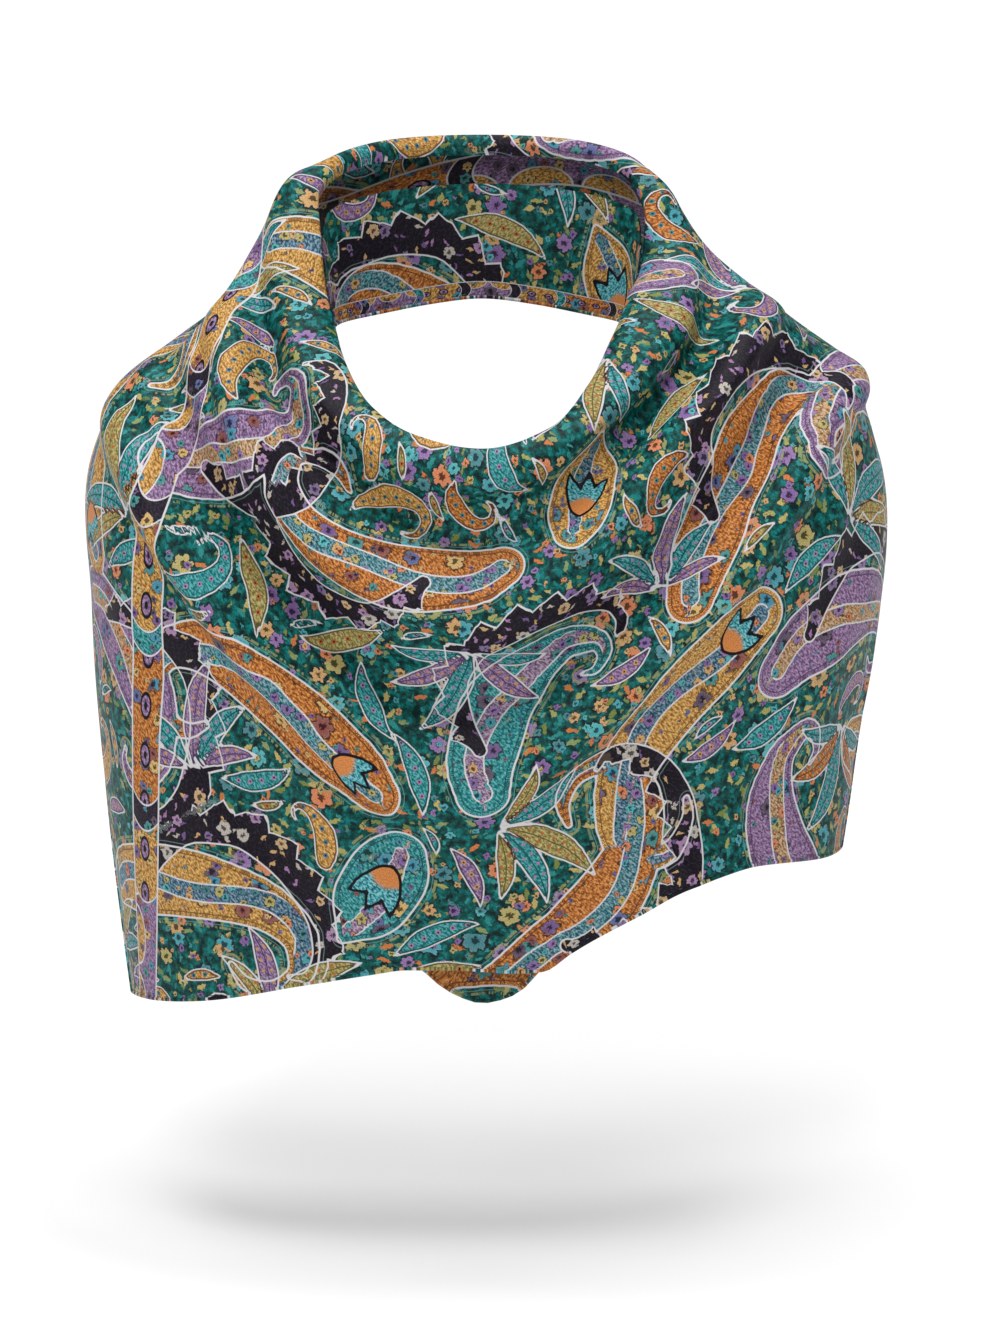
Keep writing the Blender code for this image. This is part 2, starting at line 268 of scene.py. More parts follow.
# The hanging folds of the cowl: how far each lies from the neckline in seven directions, its
# height (troughs are negative) and its half width in front. They draw together to the shoulders.
Fold = namedtuple("Fold", "name height half_width at_m75 at_m45 at_m20 at_0 at_20 at_45 at_75")
FOLD_ANGLES = (-75, -45, -20, 0, 20, 45, 75)
FOLDS = [
    Fold("first trough", -11.0, 25, 40, 42, 48, 46, 43, 39, 40),
    Fold("second ridge", 9.0, 27, 64, 88, 97, 97, 88, 70, 63),
    Fold("second trough", -10.0, 29, 104, 130, 150, 147, 137, 122, 102),
    Fold("third ridge", 8.0, 34, 150, 188, 212, 204, 187, 172, 138),
    Fold("first trough's foot", -4.0, 18, 46, 50, 58, 62, 56, 48, 46),
    Fold("second ridge's lip", 4.5, 19, 74, 99, 112, 114, 104, 82, 73),
    Fold("second trough's foot", -4.0, 19, 114, 141, 164, 163, 150, 134, 112),
    Fold("third ridge's lip", 3.5, 22, 162, 200, 228, 224, 202, 186, 150),
]
FOLD_GAIN = 1.42
FOLD_NARROWING = 0.38
FOLD_FADE_START = 60.0
FOLD_FADE_END = 114.0

# Creases pressed or pulled into the cloth: two ends as (angle, distance from the
# neckline), height (troughs are negative) and half width.
Crease = namedtuple("Crease", "angle_a down_a angle_b down_b height half_width")
CREASES = [
    Crease(-62, 150, -22, 310, 6.0, 26),
    Crease(-70, 230, -36, 340, -6.0, 26),
    Crease(84, 190, 46, 300, -7.0, 30),
    Crease(88, 326, 50, 322, -9.0, 70),
    Crease(66, 290, 30, 250, 5.0, 26),
]
CREASE_POINTS = 19
CREASE_TAPER = 0.6

# ---------------------------------------------------------------- the worn form

FORM_STEPS = (0.5, 1.0)
CLOTH_STEPS = (0.4, 0.8)
HEM_SEARCH = np.linspace(20, 560, 541)


def spline(a, b, slope_a, slope_b, width, s):
    """Give a curve between two values with a slope at each, at a share s of the way."""
    rise = a * (1 + 2 * s) * (1 - s) ** 2 + b * s * s * (3 - 2 * s)
    return rise + width * s * (1 - s) * (slope_a * (1 - s) - slope_b * s)


def through(knots, values, x):
    """Read a smooth curve through the values at the knots, without overshoot, at each x."""
    knots = np.asarray(knots, float)
    values = np.asarray(values, float)
    flat = values.ndim == 1
    values = values.reshape(len(knots), -1)
    widths = np.diff(knots)[:, None]
    pitch = np.diff(values, axis=0) / widths
    before, after = pitch[:-1], pitch[1:]
    total = np.where(np.abs(before + after) > 1e-12, before + after, 1.0)
    inner = np.where(before * after > 0, 2 * before * after / total, 0.0)
    slopes = np.concatenate([pitch[:1], inner, pitch[-1:]])
    x = np.clip(x, knots[0], knots[-1])
    i = np.clip(np.searchsorted(knots, x, side="right") - 1, 0, len(knots) - 2)
    s = (x - knots[i])[..., None] / widths[i]
    read = spline(values[i], values[i + 1], slopes[i], slopes[i + 1], widths[i], s)
    return read[..., 0] if flat else read


def table(rows, name, x):
    """Read a named column of a table as a smooth curve over its first column."""
    return through([row[0] for row in rows], [getattr(row, name) for row in rows], x)


def unit(vectors):
    """Give directions a length of 1."""
    return vectors / np.maximum(np.linalg.norm(vectors, axis=-1, keepdims=True), 1e-9)


def reach_along(points):
    """Give the length passed at each point of a line, or of each row of a grid."""
    steps = np.linalg.norm(np.diff(points, axis=-2), axis=-1)
    return np.concatenate([np.zeros_like(steps[..., :1]), np.cumsum(steps, -1)], -1)


def stations(theta):
    """Give the stations (r, z) that the cloth passes in each direction, from the turned edge."""
    rows = [SECTIONS[1]] + SECTIONS + [SECTIONS[-2]]
    angles = [-SECTIONS[1].angle] + [row.angle for row in SECTIONS] + [360 - SECTIONS[-2].angle]
    read = np.moveaxis(through(angles, [row[1:] for row in rows], np.abs(theta)), -1, 0)
    row = Section(theta, *read)
    lean = row.lean * np.sign(theta)
    neck_z = row.neck_z + lean
    pairs = [
        (row.neck_r + TURN_IN, neck_z - TURN_DEPTH),
        (row.neck_r, neck_z - ROLL_RADIUS),
        (row.neck_r + ROLL_RADIUS, neck_z),
        (row.lip_r, row.lip_z + lean),
        (row.slope_r, row.slope_z),
        (row.point_r, row.point_z),
        (row.side_r, row.side_z),
        (row.arm_r, row.arm_z),
        (row.foot_r, np.full_like(neck_z, FOOT_Z)),
    ]
    return np.stack([np.stack(pair, -1) for pair in pairs], -2)


def drop(theta, down):
    """Give (r, z) at a distance down the cloth from the top of the fold."""
    path = stations(theta)
    reach = reach_along(path)
    reach = reach - reach[..., FOLD_STATION:FOLD_STATION + 1]
    steps = np.diff(reach, axis=-1)[..., None]
    pitch = np.diff(path, axis=-2) / steps
    inner = pitch[..., :-1, :] * steps[..., 1:, :] + pitch[..., 1:, :] * steps[..., :-1, :]
    inner = inner / (steps[..., 1:, :] + steps[..., :-1, :])
    slopes = np.concatenate([pitch[..., :1, :], inner, pitch[..., -1:, :]], -2)
    i = np.clip((down[..., None] >= reach[..., 1:]).sum(-1), 0, path.shape[-2] - 2)

    def at(grid, step=0):
        return np.take_along_axis(grid, (i + step)[..., None, None], -2)[..., 0, :]

    width = at(steps)
    s = (down[..., None] - at(reach[..., None])) / width
    return spline(at(path), at(path, 1), at(slopes), at(slopes, 1), width, s)


def round_neck(theta, r, z):
    """Give the point (x, y, z) in a direction round the neck's axis."""
    turn = np.radians(theta)
    return np.stack([r * np.sin(turn), -r * np.cos(turn), z], -1)


def form(theta, down):
    """Give the worn form's point (x, y, z) without its folds."""
    r, z = np.moveaxis(drop(theta, down), -1, 0)
    points = round_neck(theta, r, z)
    x = points[..., 0]
    share = np.clip((down - RIGHT_SIDE_START) / (RIGHT_SIDE_FULL - RIGHT_SIDE_START), 0, 1)
    wider = x * (1 + (table(RIGHT_SIDE, "width", z) - 1) * share)
    points[..., 0] = np.where(x > 0, wider, x)
    return points


def facing(surface, theta, down, turn_step, down_step):
    """Give a surface's direction out of the cloth, from a small step each way."""
    turn = surface(theta + turn_step, down) - surface(theta - turn_step, down)
    fall = surface(theta, down + down_step) - surface(theta, down - down_step)
    return unit(np.cross(fall, turn))


def bump(offset, half_width):
    """Give a soft rounded ridge of height 1."""
    s = np.clip(np.abs(offset) / half_width, 0, 1)
    return 0.5 + 0.5 * np.cos(np.pi * s)


def crease_lift(crease, base):
    """Give how far one crease lifts the cloth, from the places of the form."""
    share = np.linspace(0, 1, CREASE_POINTS)
    path = form(crease.angle_a + (crease.angle_b - crease.angle_a) * share,
                crease.down_a + (crease.down_b - crease.down_a) * share)
    low, high = path.min(0) - crease.half_width, path.max(0) + crease.half_width
    near = np.all((base > low) & (base < high), -1)
    lift = np.zeros(base.shape[:-1])
    points = base[near]
    if not len(points):
        return lift
    leg = np.diff(path, axis=0)
    rel = points[:, None] - path[:-1]
    s = np.clip((rel * leg).sum(-1) / (leg * leg).sum(-1), 0, 1)
    gap = np.linalg.norm(rel - s[..., None] * leg, axis=-1)
    nearest = gap.argmin(1)
    pick = np.arange(len(points))
    along = (nearest + s[pick, nearest]) / len(leg)
    taper = np.sin(np.pi * np.clip(along, 0, 1)) ** CREASE_TAPER
    lift[near] = crease.height * taper * bump(gap[pick, nearest], crease.half_width)
    return lift


def fold_height(theta, down, base):
    """Give how far the folds lift the cloth off the form."""
    span = (np.abs(theta) - FOLD_FADE_START) / (FOLD_FADE_END - FOLD_FADE_START)
    fade = bump(np.clip(span, 0, 1), 1.0)
    narrow = 1 - FOLD_NARROWING * np.clip(np.abs(theta) / FOLD_ANGLES[-1], 0, 1)
    height = np.zeros_like(down)
    for fold in FOLDS:
        places = through(FOLD_ANGLES, fold[3:], theta)
        lift = FOLD_GAIN * fold.height * bump(down - places, fold.half_width * narrow)
        height = height + fade * lift
    for crease in CREASES:
        height = height + crease_lift(crease, base)
    return height


def cloth_points(theta, down, inset=0.0):
    """Give points of the draped cloth, inset from the outer face."""
    base = form(theta, down)
    lift = fold_height(theta, down, base) - inset
    return base + facing(form, theta, down, *FORM_STEPS) * lift[..., None]


def hem_distance(theta, hem_z):
    """Give the distance down the cloth at which the form reaches the hem's height."""
    grid = drop(np.repeat(theta[:, None], len(HEM_SEARCH), 1),
                np.repeat(HEM_SEARCH[None], len(theta), 0))
    return np.array([np.interp(-z, row, HEM_SEARCH) for z, row in zip(hem_z, -grid[..., 1])])


# ---------------------------------------------------------------- the stretches of cloth

Cloth = namedtuple("Cloth", "points normals flat")
FLAT_STEP = 14.0
RELAX_ROUNDS = 1200
RELAX_PULL = 1.5
# A layer's columns are spaced evenly where the cloth is this far down, and its first flat guess
# rises at the shoulders by this share of the neckline's height.
FOOT_POINTS = 721
FOOT_DOWN = 260.0
NECK_SHARE = 0.6


def even_count(length, step):
    """Share a length into an even number of steps."""
    return 2 * int(round(0.5 * length / step))


def relax(points, flat, hold):
    """Lay a grid of cloth flat: move its flat places until its threads keep their length."""
    links = []
    rows, columns = points.shape[:2]
    for di, dj in ((0, 1), (1, 0), (1, 1), (1, -1)):
        a = (slice(0, rows - di), slice(max(0, -dj), columns - max(0, dj)))
        b = (slice(di, rows), slice(max(0, dj), columns + min(0, dj)))
        links.append((a, b, np.linalg.norm(points[b] - points[a], axis=-1)))
    count = np.zeros((rows, columns, 1))
    for a, b, _ in links:
        count[a] += 1
        count[b] += 1
    for _ in range(RELAX_ROUNDS):
        move = np.zeros_like(flat)
        for a, b, length in links:
            gap = flat[b] - flat[a]
            now = np.linalg.norm(gap, axis=-1)
            pull = gap * (0.5 * (1 - length / np.maximum(now, 1e-6)))[..., None]
            move[a] += pull
            move[b] -= pull
        flat = flat + RELAX_PULL * hold * move / count
    return flat


def resample(grid, rows, columns, all_rows, all_columns):
    """Read a coarse grid at every row and column."""
    tall = through(rows, grid.reshape(len(rows), -1), np.arange(all_rows))
    tall = tall.reshape(all_rows, len(columns), -1).swapaxes(0, 1)
    wide = through(columns, tall.reshape(len(columns), -1), np.arange(all_columns))
    return wide.reshape(all_columns, all_rows, -1).swapaxes(0, 1)


def laid_flat(points, guess, step, pinned_column=None):
    """Give the flat places of a grid of cloth."""
    every = max(1, int(round(FLAT_STEP / step)))
    rows, columns = (np.unique(np.append(np.arange(0, count, every), count - 1))
                     for count in points.shape[:2])
    pick = np.ix_(rows, columns)
    hold = np.ones((len(rows), len(columns), 1))
    start = guess[pick].copy()
    if pinned_column is not None:
        hold[:, 0] = 0.0
        start[:, 0] = pinned_column[rows]
    return resample(relax(points[pick], start, hold), rows, columns, *points.shape[:2])


def feet(hem_column, side_angle, step):
    """Give a layer's directions along its lower hem and the length of cloth down to each."""
    fine = np.linspace(-side_angle, side_angle, FOOT_POINTS)
    reach = reach_along(form(fine, np.full_like(fine, FOOT_DOWN)))
    count = even_count(reach[-1], step)
    foot = np.interp(np.linspace(0, reach[-1], count + 1), reach, fine)
    return foot, hem_distance(foot, table(HEM, hem_column, foot))


def rows_down(length, count, top, step):
    """Give each row's distance down: even steps round the turned edge, even shares below it."""
    turn_rows = int(round(-min(0.0, top) / step))
    start = max(0.0, top)
    edge = np.linspace(top, 0, turn_rows + 1)[:-1, None] + 0 * length
    rest = start + np.linspace(0, 1, count - turn_rows + 1)[:, None] * (length - start)
    return np.concatenate([edge, rest])


def fan_out(foot, down, length, side_angle):
    """Give each row's directions: the columns fan out from the shoulder to the lower corners."""
    shoulders = np.array([-SHOULDER_ANGLE, SHOULDER_ANGLE])
    seam = hem_distance(shoulders, [BACK_HEM[0].z] * 2)
    way = np.clip((down[:, [0, -1]] - seam) / (length[[0, -1]] - seam), 0, 1)
    edge = table(SIDE_HEM, "angle", way) * (side_angle / CORNER_ANGLE)
    share = foot / side_angle
    return np.where(share < 0, share * edge[:, :1], share * edge[:, 1:])


def hanging_layer(hem_column, side_angle, step, top, inset):
    """Make a layer over the chest and shoulders, from its top to its hem."""
    foot, length = feet(hem_column, side_angle, step)
    down = rows_down(length, even_count(length.mean() - top, step), top, step)
    theta = fan_out(foot, down, length, side_angle)

    def surface(t, d):
        return cloth_points(t, d, inset(d))

    points = surface(theta, down)
    middle = points.shape[1] // 2
    across = reach_along(points)
    across = across - across[:, middle:middle + 1]
    guess = np.stack([across, NECK_SHARE * table(SECTIONS, "neck_z", np.abs(theta)) - down], -1)
    flat = laid_flat(points, guess, step)
    flat = flat - flat[np.abs(down[:, middle]).argmin(), middle]
    return Cloth(points, facing(surface, theta, down, *CLOTH_STEPS), flat)


# The gap between the under layer and the front one, by the distance down the cloth.
LayerGap = namedtuple("LayerGap", "down gap")
LAYER_GAPS = [
    LayerGap(0, 9.0),
    LayerGap(30, 7.5),
    LayerGap(80, 6.5),
    LayerGap(200, 5.5),
    LayerGap(600, 4.0),
]
UNDER_START = 18.0

# The collar's far end is tucked a little under the front layer's right shoulder, over the last
# part of its length.
COLLAR_RADIUS = 112.0
COLLAR_TUCK = 5.0
COLLAR_TUCK_DEPTH = 1.6
COLLAR_TUCK_PART = 15


def collar_cloth(front):
    """The stretch that goes on round the back of the neck, printed on from the front's left."""
    far = 360 - SHOULDER_ANGLE + COLLAR_TUCK
    count = even_count(np.radians(far - SHOULDER_ANGLE) * COLLAR_RADIUS, FINE_STEP)
    theta = -np.linspace(SHOULDER_ANGLE, far, count + 1)
    theta = np.where(theta < -180, theta + 360, theta)
    length = hem_distance(theta, table(BACK_HEM, "z", np.abs(theta)))
    rows = even_count(length.max() + TURN_DEPTH, FINE_STEP)
    down = rows_down(length, rows, -TURN_DEPTH, FINE_STEP)
    theta = np.repeat(theta[None], len(down), 0)
    last_part = np.linspace(1 - COLLAR_TUCK_PART, 1, count + 1)
    tuck = through((0.0, 1.0), (0.0, COLLAR_TUCK_DEPTH), last_part)

    def surface(t, d):
        return cloth_points(t, d, tuck)

    points = surface(theta, down)
    reach = reach_along(front.points[:, 0]) - TURN_DEPTH
    seam = [np.interp(down[:, 0], reach, front.flat[:, 0, k]) for k in (0, 1)]
    seam = np.stack(seam, -1)
    along = seam[np.abs(down[:, 0]).argmin()] - seam[-1]
    across = np.array([-along[1], along[0]]) / np.linalg.norm(along)
    guess = seam[:, None] + reach_along(points)[..., None] * across
    flat = laid_flat(points, guess, FINE_STEP, seam)
    return Cloth(points, facing(surface, theta, down, *CLOTH_STEPS), flat)


# The wound end inside the back of the neck, a row for each direction.
Band = namedtuple("Band", "angle r_top r_low z_top z_low")
BAND = [
    Band(82, 90.2, 87.0, 66, 47),
    Band(95, 95.4, 90.0, 99, 49),
    Band(108, 98.0, 92.0, 117, 50),
    Band(130, 88.0, 86.0, 124, 51),
    Band(155, 78.0, 77.0, 127, 55),
    Band(180, 74.0, 73.5, 128, 58),
]
BAND_RADIUS = 82.0
BAND_WIDTH = 70.0
BAND_FIRST_WIDTH = 65.0
BAND_STEPS = (0.4, 0.01)


def band_surface(theta, share):
    """Give points of the wound end: share 0 at its top, 1 at its lower edge."""
    rows = BAND + [BAND[-2]]
    angles = [row.angle for row in BAND] + [360 - BAND[-2].angle]
    folded = np.where(theta > 180, 360 - theta, theta)
    read = np.moveaxis(through(angles, [row[1:] for row in rows], folded), -1, 0)
    row = Band(theta, *read)
    r = row.r_top + (row.r_low - row.r_top) * share
    z = row.z_top + (row.z_low - row.z_top) * share
    return round_neck(theta, r, z)


def band_cloth():
    """The end wound inside the back of the neck."""
    ends = (BAND[0].angle, 360 - BAND[0].angle)
    columns = even_count(np.radians(ends[1] - ends[0]) * BAND_RADIUS, FINE_STEP)
    rows = even_count(BAND_WIDTH, FINE_STEP)
    theta, share = np.meshgrid(np.linspace(*ends, columns + 1), np.linspace(0, 1, rows + 1))
    points = band_surface(theta, share)
    guess = np.stack([reach_along(points), -share * BAND_FIRST_WIDTH], -1)
    inward = -facing(band_surface, theta, share, *BAND_STEPS)
    return Cloth(points, inward, laid_flat(points, guess, FINE_STEP))


# ---------------------------------------------------------------- meshes


def hung(name, data):
    """Put a mesh, a light or a camera into the scene."""
    piece = bpy.data.objects.new(name, data)
    bpy.context.scene.collection.objects.link(piece)
    return piece


def cloth_mesh(name, places, faces, flats, layers):
    """Make a mesh of printed cloth that carries its flat places and the print's layers."""
    mesh = bpy.data.meshes.new(name)
    mesh.from_pydata((places * MM).tolist(), [], faces)
    mesh.shade_smooth()
    mesh.update()
    corners = np.empty(len(mesh.loops), np.int32)
    mesh.loops.foreach_get("vertex_index", corners)
    mesh.uv_layers.new(name="flat cloth").data.foreach_set("uv", (flats[corners] * MM).ravel())
    for label, values in layers.items():
        color = mesh.attributes.new(label, "FLOAT_COLOR", "POINT")
        color.data.foreach_set("color", values.astype(np.float32).ravel())
    return mesh


def quads(grid, flip):
    """Give the faces between the points of a grid."""
    a, b, c, d = grid[:-1, :-1], grid[1:, :-1], grid[1:, 1:], grid[:-1, 1:]
    order = (a, d, c, b) if flip else (a, b, c, d)
    return np.stack(order, -1).reshape(-1, 4).tolist()


def shell(name, cloth, back_every, layers):
    """Make a thin closed wall: the printed face on the points, the other face behind it."""
    points, normals = cloth.points, cloth.normals
    rows, columns = points.shape[:2]
    pick = np.ix_(np.arange(0, rows, back_every), np.arange(0, columns, back_every))

    def doubled(values):
        size = values.shape[-1]
        return np.concatenate([values.reshape(-1, size), values[pick].reshape(-1, size)])

    split = rows * columns
    places, outs = doubled(points), doubled(normals)
    outs[split:] *= -1
    places[split:] += outs[split:] * SILK
    face = np.arange(split).reshape(rows, columns)
    other = np.arange(split, len(places)).reshape(points[pick].shape[:2])
    winding = np.cross(points[1, 0] - points[0, 0], points[0, 1] - points[0, 0])
    flip = np.dot(winding, normals[0, 0]) < 0
    faces = quads(face, flip) + quads(other, not flip)
    edges = [(face[0], other[0]), (face[::-1, 0], other[::-1, 0]),
             (face[-1, ::-1], other[-1, ::-1]), (face[:, -1], other[:, -1])]
    for front, rear in edges:
        for k in range(len(rear) - 1):
            near = front[k * back_every:(k + 1) * back_every + 1]
            rim = [*near, rear[k + 1], rear[k]]
            faces.append([int(v) for v in (rim[::-1] if flip else rim)])
    both = {label: doubled(values) for label, values in layers.items()}
    mesh = cloth_mesh(name, places, faces, doubled(cloth.flat), both)
    side = mesh.attributes.new("reverse side", "FLOAT", "POINT")
    side.data.foreach_set("value", (np.arange(len(places)) >= split).astype(np.float32))
    mesh.normals_split_custom_set_from_vertices(outs.tolist())
    return hung(name, mesh)


# ---------------------------------------------------------------- the printed design, in the flat

FAR = 40.0
EDGE_ROOM = 9.0
REPEAT = (740.0, 420.0)

# The long forms of the design, drawn as a line with a changing half width.
Mark = namedtuple("Mark", "x y half_width")
CONE = [
    Mark(2, -48, 16), Mark(-4, -26, 21), Mark(-4, 0, 23), Mark(2, 24, 21), Mark(14, 44, 16.5),
    Mark(31, 57, 11.5), Mark(48, 58, 7.5), Mark(57, 47, 5), Mark(53, 36, 3), Mark(45, 34, 1.8),
]
LONG_CONE = [
    Mark(0, -70, 15), Mark(-4, -48, 20), Mark(-4, -18, 22), Mark(0, 12, 21), Mark(8, 38, 18),
    Mark(22, 60, 14), Mark(42, 72, 10.5), Mark(60, 68, 8), Mark(69, 50, 6.5), Mark(62, 33, 4.5),
    Mark(50, 27, 2.4),
]
EGG = [Mark(0, -22, 17), Mark(0, -6, 25), Mark(0, 10, 24), Mark(0, 30, 13), Mark(0, 46, 3)]
HOOK = [
    Mark(-6, -22, 4.5), Mark(-22, -4, 7), Mark(-33, 20, 9), Mark(-30, 46, 10),
    Mark(-15, 66, 10.5), Mark(8, 80, 10), Mark(32, 86, 8.5), Mark(52, 82, 6), Mark(64, 70, 3.4),
    Mark(62, 60, 1.6),
]
SMALL_CONE = [
    Mark(0, -17, 6), Mark(-1, -8, 8.2), Mark(0, 2, 8), Mark(5, 11, 6), Mark(12, 17, 3.8),
    Mark(19, 18, 2.4), Mark(24, 12, 1.6), Mark(21, 7, 1),
]
LEAF = [
    Mark(0, 0, 0.4), Mark(1, 11, 3.8), Mark(3, 21, 6.4), Mark(7, 32, 6.0), Mark(13, 42, 3.2),
    Mark(19, 49, 0.4),
]
LENS = [
    Mark(0, -26, 0.5), Mark(0, -15, 6), Mark(0, 0, 10), Mark(0, 15, 6), Mark(0, 26, 0.5),
]
PETAL = [Mark(0, 0, 2.6), Mark(0, 6, 5.2), Mark(0, 13, 5.0), Mark(0, 24, 0.5)]
CURL = [
    Mark(-2, -22, 0.6), Mark(-5, -12, 4.2), Mark(-3, -1, 6.6), Mark(4, 8, 5.8), Mark(13, 12, 4.2),
    Mark(21, 9, 3.0), Mark(23, 1, 2.0), Mark(18, -4, 1.2),
]
LINES = {
    "cone": CONE, "long": LONG_CONE, "hook": HOOK, "small": SMALL_CONE, "leaf": LEAF,
    "lens": LENS, "curl": CURL, "egg": EGG, "petal": PETAL,
}

# The big motifs of one repeat: place in the flat, turn in degrees, mirror, size, body colour and
# whether a dark hook crosses it.
Motif = namedtuple("Motif", "line x y turn mirror size tint hook")
OCHRE, LILAC, TEAL, RUST, DARK, OLIVE, TULIP = 0.0, 1.0, 2.0, 3.0, 4.0, 5.0, 6.0
MOTIFS = [
    Motif("long", -306, -92, 20, 1, 1.00, OCHRE, 0),
    Motif("cone", -186, -66, -62, -1, 1.00, LILAC, 1),
    Motif("long", -62, -92, 98, 1, 1.00, RUST, 1),
    Motif("egg", 66, -48, -28, 1, 0.92, OCHRE, 0),
    Motif("long", 172, -88, -36, 1, 1.04, RUST, 1),
    Motif("cone", 300, -66, 74, -1, 1.00, LILAC, 0),
    Motif("cone", -248, -206, -118, 1, 1.02, LILAC, 1),
    Motif("long", -126, -206, 56, -1, 1.04, RUST, 0),
    Motif("cone", 6, -196, -14, 1, 0.98, TEAL, 1),
    Motif("long", 116, -212, 122, -1, 1.02, OCHRE, 0),
    Motif("cone", 238, -196, -74, 1, 1.04, LILAC, 1),
    Motif("egg", 350, -186, 24, 1, 0.95, OCHRE, 0),
    Motif("cone", -326, -330, 48, -1, 1.02, RUST, 0),
    Motif("long", -190, -334, -70, 1, 1.02, OCHRE, 1),
    Motif("egg", -62, -306, 150, 1, 0.95, TEAL, 0),
    Motif("long", 56, -330, -52, -1, 1.02, RUST, 1),
    Motif("cone", 190, -326, 26, 1, 1.00, LILAC, 0),
    Motif("cone", 306, -316, -136, 1, 1.00, OCHRE, 1),
]
# A tulip head lies in an egg, or near the round end of a long cone that no hook crosses.
Tulip = namedtuple("Tulip", "line x y turn size")
TULIPS = [Tulip("egg", 0, -12, 0, 1.2), Tulip("long", -2, -42, 180, 1.05)]
TULIP_TURNS = (-30, 0, 30)

# Sprays of leaves that fan out from one point.
Spray = namedtuple("Spray", "x y turn leaves opening size tint other_tint")
SPRAYS = [
    Spray(-244, -128, 44, 5, 120, 1.20, OLIVE, TEAL),
    Spray(-10, -142, 174, 5, 120, 1.08, TEAL, LILAC),
    Spray(250, -138, -56, 5, 120, 1.20, TEAL, OLIVE),
    Spray(-184, -262, 14, 5, 120, 1.08, LILAC, TEAL),
    Spray(4, -268, -104, 5, 110, 1.08, OLIVE, TEAL),
    Spray(256, -264, 156, 5, 120, 1.14, TEAL, RUST),
    Spray(112, -136, -4, 5, 120, 0.96, LILAC, TEAL),
    Spray(-356, -176, 64, 4, 100, 1.08, OLIVE, LILAC),
    Spray(122, -388, 80, 5, 120, 1.08, TEAL, OLIVE),
    Spray(-120, -398, -30, 5, 120, 1.02, OLIVE, LILAC),
    Spray(-260, -410, 20, 5, 120, 1.08, TEAL, OLIVE),
    Spray(250, -404, -20, 5, 120, 1.02, LILAC, TEAL),
]

# What fills the free ground between the big motifs, from the largest to the smallest.
Filler = namedtuple("Filler", "line size tint room most")
FILLERS = [
    Filler("curl", 1.3, OCHRE, 2.0, 5), Filler("lens", 0.9, DARK, 2.2, 3),
    Filler("curl", 1.2, TEAL, 2.0, 4), Filler("leaf", 1.15, OLIVE, 1.8, 7),
    Filler("curl", 1.0, RUST, 1.8, 4), Filler("leaf", 1.0, TEAL, 1.6, 8),
    Filler("curl", 0.9, LILAC, 1.6, 3), Filler("leaf", 0.8, LILAC, 1.5, 8),
    Filler("small", 0.9, OCHRE, 1.5, 4), Filler("leaf", 0.6, OCHRE, 1.4, 8),
    Filler("leaf", 0.5, OLIVE, 1.4, 10), Filler("leaf", 0.45, TEAL, 1.4, 10),
]
RASTER = 4.0
NEAR = 14.0
FILL_TURNS = 8
FILL_SEED = 11
# How many places a line is worked out at: in the print, and when free ground is looked for.
MOTIF_FINE, HOOK_FINE, LEAF_FINE, PETAL_FINE = 30, 28, 14, 10
MOTIF_ROUGH, LEAF_ROUGH, FILLER_ROUGH = 14, 8, 7
# The leaves of a spray: the middle one's size, how much the outer ones lose and where they start.
MIDDLE_LEAF = 1.15
LEAF_LOSS = 0.35
LEAF_START = 3.0


def turned(x, y, turn):
    """Turn a place in the flat by some degrees."""
    angle = math.radians(turn)
    cos, sin = math.cos(angle), math.sin(angle)
    return x * cos - y * sin, x * sin + y * cos


def drawn(line, x, y, turn, mirror, size, samples):
    """Place one line of the design: its points and half widths in the flat."""
    marks = LINES[line]
    steps = np.linspace(0, len(marks) - 1, samples)
    mx, my, half_widths = through(np.arange(len(marks)), marks, steps).T
    mx, my = turned(mx * size * mirror, my * size, turn)
    return np.stack([mx + x, my + y], -1), half_widths * size


def swept(points, path, half_widths):
    """Measure points against a line: distance past its edge, distance along it and to its side."""
    leg = np.diff(path, axis=0)
    long = (leg * leg).sum(-1)
    rel = points[:, None] - path[None, :-1]
    share = np.clip((rel * leg).sum(-1) / long, 0, 1)
    gap = np.linalg.norm(rel - share[..., None] * leg, axis=-1)
    width = half_widths[:-1] + share * np.diff(half_widths)
    pick = np.arange(len(points))
    near = (gap - width).argmin(1)
    share, gap, width = share[pick, near], gap[pick, near], width[pick, near]
    run = np.concatenate([[0], np.cumsum(np.sqrt(long))])
    along = run[near] + share * np.sqrt(long)[near]
    turn = leg[near, 0] * rel[pick, near, 1] - leg[near, 1] * rel[pick, near, 0]
    return gap - width, along, np.sign(turn) * gap


def close_to(points, path, half_widths, room):
    """Give which points lie in the box round a line, with some room."""
    low = (path - half_widths[:, None]).min(0) - room
    high = (path + half_widths[:, None]).max(0) + room
    return np.flatnonzero(np.all((points > low) & (points < high), -1))


def lay(layer, flat, line, tint):
    """Print one line on a layer where it is nearer than what is there."""
    inside = close_to(flat, *line, EDGE_ROOM)
    if not len(inside):
        return
    edge, along, side = swept(flat[inside], *line)
    nearer = edge < layer[inside, 0]
    rows = inside[nearer]
    layer[rows, 0] = edge[nearer]
    layer[rows, 1] = tint
    layer[rows, 2] = along[nearer]
    layer[rows, 3] = side[nearer]


